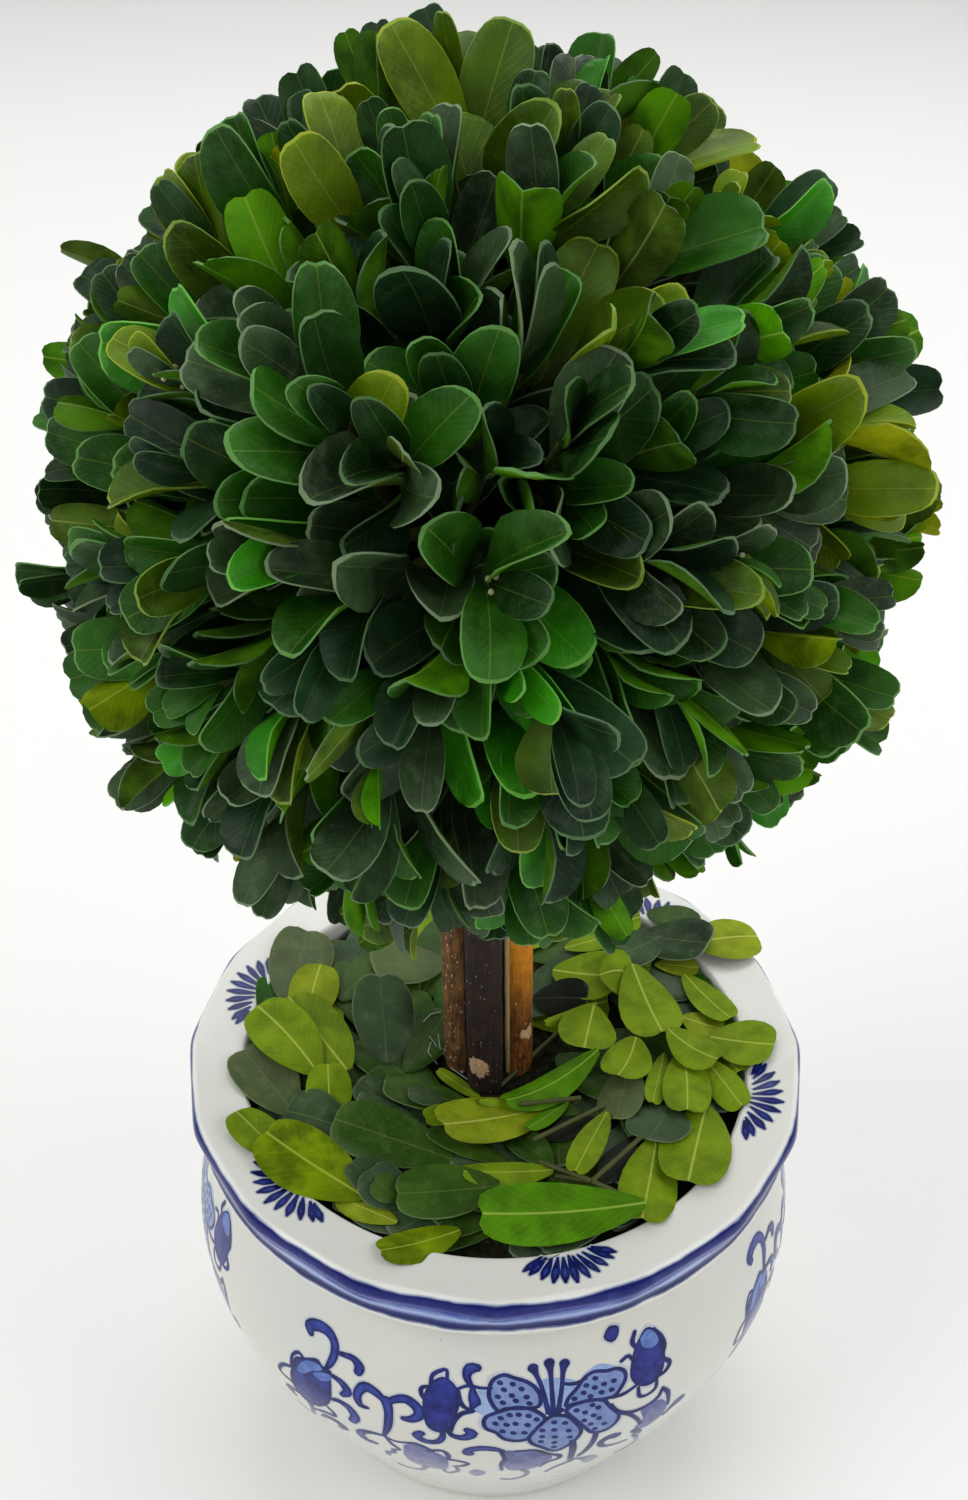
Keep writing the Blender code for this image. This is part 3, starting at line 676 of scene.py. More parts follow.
class Paint:
    """Painted shapes that share one colour, gathered into one closed, very thin mesh."""

    def __init__(self, lift):
        self.lift = lift
        self.points = []
        self.faces = []

    def add_sheet(self, x, y, quads, border, place, repeat):
        """A sheet with a face above, one below and a side wall, so that it is closed."""
        start = len(self.points)
        count = len(x)
        self.points += [*place(x, y, self.lift, repeat), *place(x, y, -SUNK, repeat)]
        for quad in quads:
            self.faces.append([start + i for i in quad])
            self.faces.append([start + count + i for i in reversed(quad)])
        for i, j in zip(border, [*border[1:], border[0]]):
            self.faces.append([start + j, start + i, start + count + i, start + count + j])

    def stroke(self, points, repeat=0, extra=0.0, place=on_body):
        """A brush stroke with rounded ends, wider by extra."""
        line = spline(points, STROKE_SPACING)
        line[:, 2] += extra
        line = line[line[:, 2] > SLIMMEST]
        if len(line) < 2:
            return
        middle, half = line[:, :2], line[:, 2] / 2
        along = np.gradient(middle, axis=0)
        along /= np.linalg.norm(along, axis=1)[:, None]
        head, tail = (
            [(middle[k] + way * along[k] * half[k] * share, along[k], half[k] * math.sqrt(1 - share * share))
             for share in STROKE_END] for k, way in ((0, -1), (-1, 1)))
        rows = [*head, *zip(middle, along, half), *reversed(tail)]
        x, y = np.array([centre + np.array((-heading[1], heading[0])) * side * max(width, THINNEST)
                         for centre, heading, width in rows for side in STROKE_SIDES]).T
        quads, border = sheet(len(rows), len(STROKE_SIDES))
        self.add_sheet(x, y, [(a, d, c, b) for a, b, c, d in quads], border, place, repeat)

    def patch(self, outline, repeat, extra=0.0):
        """A filled shape, grown by extra all round."""
        edge = spline(outline, STROKE_SPACING, closed=True)
        middle = edge.mean(axis=0)
        reach = np.linalg.norm(edge - middle, axis=1).mean()
        edge = middle + (edge - middle) * (1 + extra / reach)
        points = np.concatenate([*(middle + (edge - middle) * share for share in PATCH_RINGS), [middle]])
        count = len(edge)
        last = (len(PATCH_RINGS) - 1) * count
        quads = [(i + j, i + (j + 1) % count, i + count + (j + 1) % count, i + count + j)
                 for i in range(0, last, count) for j in range(count)]
        quads += [(last + j, last + (j + 1) % count, len(points) - 1) for j in range(count)]
        self.add_sheet(*points.T, quads, list(range(count)), on_body, repeat)


def make_cobalt(name, light, dark):
    """Cobalt brushed on by hand under a clear glaze: pooled dark and thin light places, wet gloss."""
    made, node, coords = new_material(name)
    pooled = node(*STEP, node(*NOISE, coords, *POOLS), *POOL_SPREAD)
    bump = node(*BUMP, 1, RIPPLE_HEIGHT, None, node(*NOISE, coords, *RIPPLES))
    return finish_material(made, {"Base Color": node(*BLEND, pooled, linear(light), linear(dark)),
                                  "Roughness": 0.09, "IOR": 1.5, "Specular IOR Level": 0.2, "Normal": bump})


def fan_strokes(middle_deg, breadth, rng):
    """Leaf-shaped strokes side by side on the rim, splayed like a fan, with a short one added at each end."""
    for i in range(-1, FAN_STROKES + 1):
        t = min(FAN_END, max(-FAN_END, (2 * i - FAN_STROKES + 1) / (FAN_STROKES - 1)))
        length = FAN_LENGTH_MM * (1 - FAN_SHORTER * abs(t)) * rng.uniform(0.92, 1.06)
        tilt = t * FAN_SPLAY * breadth + rng.uniform(-0.06, 0.06)
        around = math.radians(middle_deg + t * FAN_HALF_DEG * breadth) * FAN_RADIUS_MM
        radius = FAN_RADIUS_MM - FAN_CURVE_MM * t * t
        yield [((around + share * length * math.sin(tilt)) * MM / PATTERN_UNIT,
                (radius + share * length * math.cos(tilt)) * MM / PATTERN_UNIT,
                FAN_WIDTH * width * rng.uniform(0.9, 1.1)) for share, width in FAN_STROKE]


def make_painting():
    rng = random.Random(SEED)
    paints = {name: Paint(lift) for name, (lift, *_) in PAINTS.items()}

    def brush(points, extras, repeat=0, place=on_body):
        for name, extra in zip(("halo", "lines", "cores"), extras):
            paints[name].stroke(points, repeat, extra, place)

    for repeat in range(PATTERN_REPEATS):
        for name, (outlines, bleed, edge) in PATCHES.items():
            for outline in outlines:
                if bleed:
                    paints["halo"].patch(outline, repeat, bleed)
                paints[name].patch(outline, repeat)
                if edge:
                    paints["lines"].stroke([(x, y, edge) for x, y in (*outline, *outline[:2])], repeat)
        for x, y in PETAL_DOTS:
            paints["lines"].stroke(((x - 0.6, y - 0.5, DOT_WIDTH), (x + 0.6, y + 0.5, DOT_WIDTH)), repeat)
        for strokes, extras in ((LINES, LINE_EXTRAS), (CURLS, CURL_EXTRAS)):
            for points in strokes:
                brush(points, extras, repeat)
    for middle, breadth in FANS:
        for points in fan_strokes(middle, breadth, rng):
            brush(points, FAN_EXTRAS, place=on_rim)
    for name, (_, finish, light, dark) in PAINTS.items():
        paint = paints[name]
        mesh = turned_out(mesh_of("cobalt_" + name, paint.points, paint.faces), 40)
        mesh.materials.append(make_cobalt(finish + " under glaze", light, dark))
        settle("cobalt_" + name, mesh, "glaze")


# Leaves

# The leaf's half outline: how far along, and its share of the full width there.
LEAF_ROWS = ((0.0, 0.07), (0.08, 0.14), (0.19, 0.35), (0.32, 0.63), (0.46, 0.86), (0.60, 0.98), (0.74, 0.99),
             (0.85, 0.89), (0.92, 0.74), (0.97, 0.50))
LEAF_COLUMNS = (-1.0, -0.5, 0.0, 0.5, 1.0)
# How far the last row reaches past its place, at the margins and beside the middle.
LEAF_TIP = (0.0, 0.022)
# The ellipse that a full leaf's outline follows: its middle, its half length and where it is cut.
ELLIPSE = (0.53, 0.545, 0.97)
# The fold about the midrib: its crease, its roundness and its share at the root.
FOLD = (0.35, 2.3, 0.4)
CUP_START = 0.3
# A blade's and its margin's thickness and the midrib's groove and ridge, as shares of a leaf's thickness.
BLADE_THICK, MARGIN_THICK, RIB = 1.5, 0.8, 0.6
MARGIN = 0.972
LEAF_THICK = 0.02
LAID_THICK = 0.013
LEAF_SHAPES = 16
# How far a leaf's outline is from a spoon to an ellipse: on the shoots, and laid flat.
GROWN_FULL = 0.35
LAID_FULL = 0.6
# How far leaves cup along their length, fold about the midrib and twist: on the shoots, and laid flat.
GROWN_BENDS = ((-0.26, 0.30), (0.0, 0.34), (-0.34, 0.34))
LAID_BENDS = ((-0.04, 0.04), (-0.02, 0.07), (-0.04, 0.04))
# The numbers that each point of a shoot and each face of a leaf carries into the node tree.
POINT_LAYERS = {"turn": "FLOAT_VECTOR", "size": "FLOAT_VECTOR", "pick": "INT"}
FACE_LAYERS = {"under": "BOOLEAN", "margin": "BOOLEAN"}


def leaf_width(x, outline):
    """The share of its full width that a leaf has at x of its length: between a spoon and an ellipse."""
    full, blunt = outline
    middle, half, end = ELLIPSE
    spoon = np.interp(x, *zip(*LEAF_ROWS)) ** (1.15 - 0.35 * blunt)
    return spoon * (1 - full) + np.sqrt(1 - np.square((np.minimum(x, end) - middle) / half)) * full


def leaf_height(x, y, bends):
    """How high a leaf's underside stands above its flat at x of its length and y of its width."""
    cup, fold, twist = bends
    crease, roundness, start = FOLD
    return (cup * (x ** 2 - CUP_START * x)
            + fold * (crease * np.abs(y) + roundness * y ** 2) * np.minimum(1, start + x) + twist * y * x)


def leaf_samples(shape, rows, sides):
    """Points on a leaf's underside, row by row, one long and one wide."""
    bends, sweep, _, outline = shape
    x = np.repeat(rows, len(sides))
    y = 0.5 * leaf_width(x, outline) * np.tile(sides, len(rows))
    return np.stack([x, y + sweep * np.sin(np.pi * x) * 0.5, leaf_height(x, y, bends)], 1)


def leaf_parts(shape, thick):
    """A boxwood leaf one long and one wide, root at the origin, tip along +X, upper face up.

    It is a thin closed lens with a bevelled margin: its points, its faces, each face's kind (0 upper,
    1 under, 2 margin) and each point's place, from root to tip along U and across along V.
    """
    bends, sweep, notch, outline = shape
    ends = {1.0: LEAF_TIP[0], 0.5: LEAF_TIP[1], 0.0: LEAF_TIP[1] - notch}
    upper, lower, places = [], [], []
    for x, _ in LEAF_ROWS:
        last = x == LEAF_ROWS[-1][0]
        for side in LEAF_COLUMNS:
            reach = x + ends[abs(side)] if last else x
            y = 0.5 * leaf_width(x, outline) * side
            height = leaf_height(reach, y, bends)
            rib = RIB * thick if side == 0 else 0
            across = sweep * math.sin(math.pi * reach) * 0.5
            at_margin = abs(side) == 1
            upper.append((reach * (0.5 + 0.5 * MARGIN if last else 1),
                          y * (MARGIN if at_margin else 1) + across,
                          height + thick * (MARGIN_THICK if at_margin else BLADE_THICK) - rib))
            lower.append((reach, y + across, height - rib))
            places.append((reach, 0.5 + y))
    count = len(upper)
    quads, border = sheet(len(LEAF_ROWS), len(LEAF_COLUMNS))
    faces = [face for a, b, c, d in quads
             for face in ((a, b, c, d), (count + a, count + d, count + c, count + b))]
    faces += [(a, b, count + b, count + a) for a, b in zip(border, [*border[1:], border[0]])]
    return np.array([*upper, *lower]), faces, [0, 1] * len(quads) + [2] * len(border), [*places, *places]


def leaves_mesh(name, points, faces, places):
    """The mesh of one leaf or more, its normals outward, its margins crisp."""
    mesh = mesh_of(name, points, faces)
    uv = np.array([places[v] for face in faces for v in face], np.float32)
    mesh.uv_layers.new(name="leaf").data.foreach_set("uv", uv.ravel())
    return turned_out(mesh, 50)


def leaf_shapes(bends, full):
    """A few leaves that differ in cupping, folding, twist, sweep, notch and bluntness of the tip."""
    rng = random.Random(SEED + 1)
    return [([rng.uniform(*span) for span in bends], rng.uniform(-0.10, 0.10), rng.uniform(0.0, 0.03),
             (full, rng.uniform(0.1, 1.0))) for _ in range(LEAF_SHAPES)]


def make_leaf_meshes(shapes):
    """The leaf shapes as meshes, for the shoots to pick from. Their face attributes tell the faces' kinds."""
    made = bpy.data.collections.new("leaf_shapes")
    for i, shape in enumerate(shapes):
        points, faces, kinds, places = leaf_parts(shape, LEAF_THICK)
        mesh = leaves_mesh(f"leaf_shape_{i:02d}", points, faces, places)
        for kind, (key, layer) in enumerate(FACE_LAYERS.items(), 1):
            flags = mesh.attributes.new(key, layer, "FACE")
            flags.data.foreach_set("value", [k == kind for k in kinds])
        made.objects.link(bpy.data.objects.new(mesh.name, mesh))
    return made


def new_group(name, inputs, output):
    """A Geometry Nodes group with named inputs and one output, what adds a node to it and its inputs."""
    tree = bpy.data.node_groups.new(name, "GeometryNodeTree")
    for socket, kind in inputs.items():
        tree.interface.new_socket(socket, in_out="INPUT", socket_type="NodeSocket" + kind)
    tree.interface.new_socket(output, in_out="OUTPUT", socket_type="NodeSocketGeometry")
    return tree, partial(add, tree), add(tree, "NodeGroupInput", {}).node.outputs


def leaf_tree():
    """A leaf on each point, turned, sized and picked by the point's attributes."""
    tree, node, given = new_group("leaves on shoots", {
        "Points": "Geometry", "Leaf shapes": "Collection", "Leaf size": "Float", "Upper face": "Material",
        "Lower face": "Material", "Margin": "Material"}, "Leaves")
    turn, size, pick, under, margin = (
        node("GeometryNodeInputNamedAttribute", {"data_type": kind}, name)
        for name, kind in {**POINT_LAYERS, **FACE_LAYERS}.items())
    leaves = node("GeometryNodeCollectionInfo", {}, given["Leaf shapes"], True, True)
    turn = node("FunctionNodeEulerToRotation", {}, turn)
    size = node(*SCALE, size, given["Leaf size"])
    made = node("GeometryNodeInstanceOnPoints", {}, given["Points"], None, leaves, True, pick, turn, size)
    made = node("GeometryNodeRealizeInstances", {}, made)
    for name, flag in (("Upper face", None), ("Lower face", under), ("Margin", margin)):
        made = node("GeometryNodeSetMaterial", {}, made, flag, given[name])
    node("NodeGroupOutput", {}, made)
    return tree


def points_object(name, points, edges, layers):
    """An object of bare points and edges whose points carry layers of numbers, each of a kind."""
    mesh = mesh_of(name, points, [], edges)
    for key, (kind, values) in layers.items():
        field = "vector" if kind == "FLOAT_VECTOR" else "value"
        mesh.attributes.new(key, kind, "POINT").data.foreach_set(field, np.ravel(values).tolist())
    return object_of(name, mesh)


def grow_piece(name, leaves, tree, meshes, materials):
    """The leaves as one plain mesh."""
    numbers = {"turn": [tuple(leaf["axes"].to_euler()) for leaf in leaves],
               "size": [leaf["size"] for leaf in leaves], "pick": [leaf["pick"] for leaf in leaves]}
    holder = points_object(name + "_points", [leaf["root"] for leaf in leaves], [],
                           {key: (kind, numbers[key]) for key, kind in POINT_LAYERS.items()})
    upper, lower, margin = materials
    return grown(name, holder, tree, {"Leaf shapes": meshes, "Leaf size": 1.0, "Upper face": upper,
                                      "Lower face": lower, "Margin": margin})


# Each face of a leaf: roughness, shine, size of its mottling in mm, how dusty it is, how far its veins show,
# half the midrib's width and how far the midrib shows.
UPPER_FACE = (0.42, 0.24, 13, 0.5, 0.03, 0.020, 0.2)
LOWER_FACE = (0.55, 0.14, 5, 0.36, 0.07, 0.028, 0.75)
MOTTLE_SPREAD = (0.34, 0.66)
# Painted shade at a leaf's root: where along it this fades, and how deep it is.
ROOT_PAINTED_SHADE, ROOT_PAINTED_SHADE_DEPTH = (0.55, 0.1), 0.8
# Dust and specks on it: noise, its spread, and the specks' strength.
DUST, DUST_SPREAD = (1 / (2.6 * MM), 5, 0.65), (0.44, 0.8)
SPECKS, SPECKS_SPREAD, SPECKS_STRENGTH = (1 / (0.5 * MM), 3, 0.6), (0.56, 0.78), 0.6
# How many veins a leaf has on each side, how far they lean towards the tip, and their soft edge.
VEINS, VEIN_SLOPE, VEIN_EDGE = 13, 9, (0.16, 0.02)
RIB_CREST = 0.004
RIDGE, RIDGE_STRENGTH, VEIN_RISE = 0.12 * MM, 0.5, 0.35


def make_leaf_face(name, base, deep, bloom, rib, face):
    """Glycerine-preserved boxwood, dyed: satin and a little waxy above, with a dusty bloom and a faint
    midrib; matter and yellower below, with a raised pale midrib and fine side veins."""
    rough, shine, mottle_mm, dusty, veined, rib_half, ribbed = face
    made, node, coords = new_material(name)
    place = node(*SPLIT, node("ShaderNodeUVMap", {"uv_map": "leaf"})).node.outputs
    off_middle = node(*ABSOLUTE, node(*SUBTRACT, place["Y"], 0.5))
    shade = node(*STEP, node(*NOISE, coords, 1 / (mottle_mm * MM), 3), *MOTTLE_SPREAD)
    # Painted shade: towards its root the leaf darkens to its deep tone, where its neighbours would shade it.
    painted_root_shade = node(*MULTIPLY, node(*STEP, place["X"], *ROOT_PAINTED_SHADE), ROOT_PAINTED_SHADE_DEPTH)
    colour = node(*BLEND, node(*MAXIMUM, shade, painted_root_shade), linear(base), linear(deep))
    dust = node(*STEP, node(*NOISE, coords, *DUST), *DUST_SPREAD)
    specks = node(*STEP, node(*NOISE, coords, *SPECKS), *SPECKS_SPREAD)
    dust = node(*MAXIMUM, dust, node(*MULTIPLY, specks, SPECKS_STRENGTH))
    # Veins leave the midrib at even steps.
    lean = node(*MULTIPLY, off_middle, -VEIN_SLOPE)
    wave = node(*PINGPONG, node(*MULTIPLY_ADD, place["X"], VEINS, lean), 0.5)
    side = node(*STEP, wave, *VEIN_EDGE)
    middle = node(*STEP, off_middle, rib_half, RIB_CREST)
    for mask, share, over in ((dust, dusty, bloom), (side, veined, rib), (middle, ribbed, rib)):
        colour = node(*BLEND, node(*MULTIPLY, mask, share), colour, linear(over))
    ridges = node(*MAXIMUM, node(*MULTIPLY, side, VEIN_RISE), middle)
    return finish_material(made, {
        "Base Color": colour, "Roughness": rough, "IOR": 1.42, "Specular IOR Level": shine,
        "Normal": node(*BUMP, RIDGE_STRENGTH, RIDGE, None, ridges)})


# Dye lots: upper face light and deep, its bloom, lower face light and deep, its bloom, midrib, margin.
# Each deep tone also paints the shade towards a leaf's root.
LEAF_TINTS = {
    "deep": ("#1B420F", "#0A2406", "#3B602E", "#4E7E06", "#2C4E04", "#5E8C1C", "#88A444", "#547A44"),
    "blue": ("#1D3E1E", "#0C2410", "#425E3C", "#487A10", "#2A4C08", "#568420", "#7E9C48", "#5E7E54"),
    "grey": ("#38522E", "#1E321C", "#667A5A", "#5A7A1C", "#384E12", "#6E8838", "#92A650", "#789068"),
    "mid": ("#28620C", "#153C06", "#4A7C2E", "#5EA008", "#3A7006", "#72AC1E", "#98B83C", "#669650"),
    "olive": ("#4A6A06", "#2C4406", "#628222", "#84A000", "#546C00", "#92AC1C", "#B6C244", "#869E3A"),
    "bright": ("#329008", "#1E6006", "#58A634", "#5CAE00", "#3C8000", "#74BA20", "#9CCC4C", "#74B84C"),
    "yellow": ("#6C8C08", "#465E06", "#86A028", "#A4B002", "#707C02", "#B0BA2A", "#CED058", "#A6AE2A"),
    "moss": ("#5A6C3C", "#465430", "#74845A", "#6A7424", "#565E1E", "#7C863C", "#8E9A58", "#768658"),
    "dark": ("#161D12", "#0E130C", "#272E22", "#39420F", "#2A300C", "#464E20", "#5A6430", "#323A2A"),
    "shade": ("#40601A", "#284610", "#5C7638", "#5E8210", "#486A0C", "#6E9028", "#8CA44C", "#5E7A48"),
    "slate": ("#445C3A", "#2E442A", "#687A5C", "#52721C", "#405C18", "#628034", "#80964C", "#667C5C"),
    "fresh": ("#3A6E0A", "#2C5A08", "#5A8A30", "#569006", "#447604", "#6A9E24", "#A8C650", "#7CA044"),
    "laid": ("#5A7010", "#46580E", "#748430", "#809E12", "#66820A", "#90AA30", "#C0CE5A", "#8AA244"),
    "laid_pale": ("#6C7C14", "#566610", "#868F30", "#94A61A", "#7A8C10", "#A2B23C", "#D0D668", "#9CAA50"),
}


def make_leaf_materials():
    made = {}
    for tint, (light, deep, bloom, under, under_deep, under_bloom, rib, edge) in LEAF_TINTS.items():
        name = f"preserved boxwood {tint} "
        made[tint] = (
            make_leaf_face(name + "upper face", light, deep, bloom, rib, UPPER_FACE),
            make_leaf_face(name + "lower face", under, under_deep, under_bloom, rib, LOWER_FACE),
            # The thickened margin shows as a thin pale line: partly its own paler tone, partly a painted
            # highlight where it catches the light.
            grainy(name + "margin", {"Roughness": 0.5, "IOR": 1.42, "Specular IOR Level": 0.3},
                   (bloom, edge), 3 * MM))
    return made


# The three sticks, by the sizes of their CAD solids

STEM_OFFSETS_MM = {"stem_left": (-4.9, 2.9), "stem_middle": (-0.4, -3.3), "stem_right": (5.3, 2.2)}
STEM_RADIUS_FOOT = 3.6 * MM
STEM_RADIUS_TOP = 3.35 * MM
STEM_FOOT = 40 * MM
STEM_TOP = 188 * MM
STEM_BOW = 0.5 * MM
BUNDLE_X = -1.4 * MM
BUNDLE_HEIGHT = 84 * MM
BUNDLE_RADIUS = 10.2 * MM
BALL_CENTRE = Vector((-3.5 * MM, 0, 203 * MM))
GAP = 0.3 * MM
STICK_ROUND = 40
STICK_ROWS = 150
# The lumps of the bark's relief: furrows' breadth and length, and knots.
FURROW = (1.1 * MM, 1.1 * MM, 9 * MM)
KNOT = 4 * MM
FURROW_SHARE, KNOT_SHARE = 0.7, 0.5
# Each stick's bark: light and deep colour, flecks, how proud its ridges stand, its slot, how far apart
# the flecks lie, their size as a share of that, and the sticks that it leans on.
BARKS = {
    "stem_left": ("#8E6238", "#503418", "#E6D0A4", 0.16 * MM, "bark_brown", 0.72 * MM, 0.27,
                  ("stem_middle",)),
    "stem_middle": ("#38241F", "#1C1111", "#B4A68E", 0.22 * MM, "bark_dark", 0.95 * MM, 0.16,
                    ("stem_left", "stem_right")),
    "stem_right": ("#F09C16", "#D07C0E", "#F2C67E", 0.14 * MM, "bark_orange", 1.1 * MM, 0.16,
                   ("stem_middle",)),
}
# Where the bark is off: the middle of the patch and its size.
PEELED = {"stem_middle": (Vector((-3.4, -6.0, 91.2)) * MM, 2.2 * MM),
          "stem_right": (Vector((6.2, 0.1, 94.2)) * MM, 1.4 * MM)}
PEEL_RAGGED = 4 * MM
PEEL_EDGE = (2.3 * MM, 1.9 * MM)
# The right stick is orange above the upper height, red brown under the lower one, with a ragged change.
BROWN_BELOW = 96 * MM
ORANGE_ABOVE = 118 * MM
CHANGE_RAGGED = 16 * MM
# How far from the next stick's axis the seam's painted shade and the strip of pale wood with its painted
# highlight end, and how softly.
SEAM_PAINTED_SHADE, SEAM_PAINTED_SHADE_EDGE = 4.85 * MM, 0.3 * MM
SEAM_PALE_HIGHLIGHT, SEAM_PALE_HIGHLIGHT_EDGE = 5.25 * MM, 0.1 * MM
# Noise in the bark: 1 over the size of its lumps, detail and roughness.
FIBRES, BLOTCHES = (1 / (0.6 * MM), 5, 0.65), (1 / (2.6 * MM), 5, 0.65)
RAGS, PEEL_RAGS, THINNING = (1 / (4 * MM), 5, 0.6), (1 / (1.2 * MM), 5, 0.6), (1 / (2.5 * MM), 2)
FIBRE_SHARE = 0.5
BARK_SPREAD, THINNING_SPREAD = (0.38, 0.62), (0.38, 0.48)
ALONG_FIBRES, ALONG_FLECKS = (1, 1, 0.1), (1, 1, 0.38)
FLECK_STRENGTH = 0.85


def bundle_middle(height):
    """The bundle's middle line: it leans from its foot towards the ball's middle, with a slight bow."""
    rise = (height - BUNDLE_HEIGHT) / (BALL_CENTRE.z - BUNDLE_HEIGHT)
    bow = STEM_BOW * math.sin(math.pi * (height - STEM_FOOT) / (STEM_TOP - STEM_FOOT))
    return Vector((BUNDLE_X + (BALL_CENTRE.x - BUNDLE_X) * rise, bow, height))


def make_bark(name, light, deep, fleck, ridge, spacing, fleck_size, beside):
    """Dried bark of thin sticks: matt, with ridges along the stick, darker furrows and pale lenticels."""
    made, node, coords = new_material(name.replace("_", " ") + " dried bark")
    place = node(*SPLIT, coords).node.outputs
    fibres = node(*NOISE, node(*STRETCH, coords, ALONG_FIBRES), *FIBRES)
    blotches = node(*MULTIPLY, node(*NOISE, coords, *BLOTCHES), 1 - FIBRE_SHARE)
    share = node(*STEP, node(*MULTIPLY_ADD, fibres, FIBRE_SHARE, blotches), *BARK_SPREAD)
    colour = node(*BLEND, share, linear(deep), linear(light))
    if name == "stem_right":
        # Towards its foot the bright bark turns red brown.
        ragged = node(*MULTIPLY_ADD, node(*NOISE, coords, *RAGS), CHANGE_RAGGED, place["Z"])
        old = node(*STEP, ragged, ORANGE_ABOVE + CHANGE_RAGGED / 2, BROWN_BELOW + CHANGE_RAGGED / 2)
        colour = node(*BLEND, old, colour, node(*BLEND, share, linear("#4A240C"), linear("#9A5A20")))
    # Lenticels: pale flecks up to about 0.8 mm long, stretched along the stick.
    cells = node(*CELLS, node(*STRETCH, coords, ALONG_FLECKS), 1 / spacing)
    thinned = node(*STEP, node(*NOISE, coords, *THINNING), *THINNING_SPREAD)
    flecks = node(*MULTIPLY, node(*STEP, cells, fleck_size, 0.5 * fleck_size), thinned)
    colour = node(*BLEND, node(*MULTIPLY, flecks, FLECK_STRENGTH), colour, linear(fleck))
    # Painted shade darkens the seams between the sticks, where they shade each other. The right one shows
    # pale wood beside its seam, painted brighter as a highlight.
    lean = (BALL_CENTRE.x - BUNDLE_X) / (BALL_CENTRE.z - BUNDLE_HEIGHT)
    upright = node(*MULTIPLY_ADD, node(*SUBTRACT, place["Z"], BUNDLE_HEIGHT), -lean, place["X"])
    flat = node(*JOIN, upright, place["Y"])
    for other in beside:
        x, y = STEM_OFFSETS_MM[other]
        away = node(*DISTANCE, flat, (BUNDLE_X + x * MM, y * MM + STEM_BOW, 0))
        if name == "stem_right":
            pale = node(*STEP, away, SEAM_PALE_HIGHLIGHT, SEAM_PALE_HIGHLIGHT - SEAM_PALE_HIGHLIGHT_EDGE)
            colour = node(*BLEND, pale, colour, linear("#FFDAA0"))
        dark = node(*STEP, away, SEAM_PAINTED_SHADE, SEAM_PAINTED_SHADE - SEAM_PAINTED_SHADE_EDGE)
        colour = node(*BLEND, dark, colour, linear("#0E0806"))
    if name in PEELED:
        # A patch near the foot where the bark is off and the pale wood shows.
        middle, size = PEELED[name]
        away = node(*DISTANCE, coords, middle)
        ragged = node(*MULTIPLY_ADD, node(*NOISE, coords, *PEEL_RAGS), PEEL_RAGGED, away)
        bare = node(*STEP, ragged, *(size + edge for edge in PEEL_EDGE))
        colour = node(*BLEND, bare, colour, node(*BLEND, fibres, linear("#B4845C"), linear("#F2D0A8")))
    return finish_material(made, {"Base Color": colour, "Roughness": 0.72, "IOR": 1.45,
                                  "Normal": node(*BUMP, 1, ridge, None, node(*ADD, share, flecks))})


def make_stick(name, light, deep, fleck, ridge, slot, *flecks):
    """A stick whose surface carries the bark's ridges and knots as relief."""
    offset = Vector([value * MM for value in (*STEM_OFFSETS_MM[name], 0)])
    points = []
    for i in range(STICK_ROWS + 1):
        share = i / STICK_ROWS
        middle = bundle_middle(STEM_FOOT + (STEM_TOP - STEM_FOOT) * share) + offset
        radius = STEM_RADIUS_FOOT + (STEM_RADIUS_TOP - STEM_RADIUS_FOOT) * share
        for j in range(STICK_ROUND):
            turn = math.tau * j / STICK_ROUND
            out = Vector((math.cos(turn), math.sin(turn), 0))
            spot = middle + out * radius
            furrow = noise.noise(Vector([value / size for value, size in zip(spot, FURROW)]))
            sunk = 0.5 - FURROW_SHARE * furrow - KNOT_SHARE * noise.noise(spot / KNOT)
            points.append(middle + out * (radius - ridge * sunk))
    faces = [tuple(reversed(range(STICK_ROUND)))]
    for i in range(0, STICK_ROWS * STICK_ROUND, STICK_ROUND):
        for j in range(STICK_ROUND):
            k = (j + 1) % STICK_ROUND
            faces.append((i + j, i + k, i + STICK_ROUND + k, i + STICK_ROUND + j))
    faces.append(tuple(range(STICK_ROWS * STICK_ROUND, (STICK_ROWS + 1) * STICK_ROUND)))
    mesh = smoothed(mesh_of(name + "_bark", points, faces), 50)
    mesh.materials.append(make_bark(name, light, deep, fleck, ridge, *flecks))
    settle(name + "_bark", mesh, slot, name)


# The leaf ball: shoots by the source's rule, carried to finer twigs

SHOOTS = 385
SHOOT_JITTER = 0.08
SHOOT_TILT = 0.2
# The shoots lean away from a parting on the front of the ball and from one on its back. Leaves face them.
PARTING = Vector((-0.07, -0.9, 0.42)).normalized()
PARTING_LEAN = 0.47
FACING_SHARE = 0.7
OWN_FACING = 0.3
SHOOT_FOOT = 28 * MM
TIP_RADIUS_MM = (47.0, 57.0)
REACH_MM = (62.0, 68.2)
# Crossed pairs down each shoot: distance from its tip, leaf length and spread from the shoot.
PAIRS = (
    (0.0, (11, 16), (3, 22)),
    (3.0, (14, 19), (8, 32)),
    (7.5, (16, 21), (12, 40)),
    (12.5, (17, 22), (16, 46)),
)
LEAF_SLENDERNESS = (0.40, 0.53)
LEAF_TRIES = 24
LEAF_SHRINK = 0.985
SHORTEST_MM = 7
LEAF_TURN = math.radians(75)
LEAF_ROLL = math.radians(60)
# The samples of a blade that tell whether it cuts through another, and its reach as a share of its length.
BLADE_ROWS = np.array((0.14, 0.42, 0.72, 0.975))
BLADE_SIDES = np.array((-0.92, 0.0, 0.92))
BLADE_FACES, _ = sheet(len(BLADE_ROWS), len(BLADE_SIDES))
BLADE_REACH = 0.6
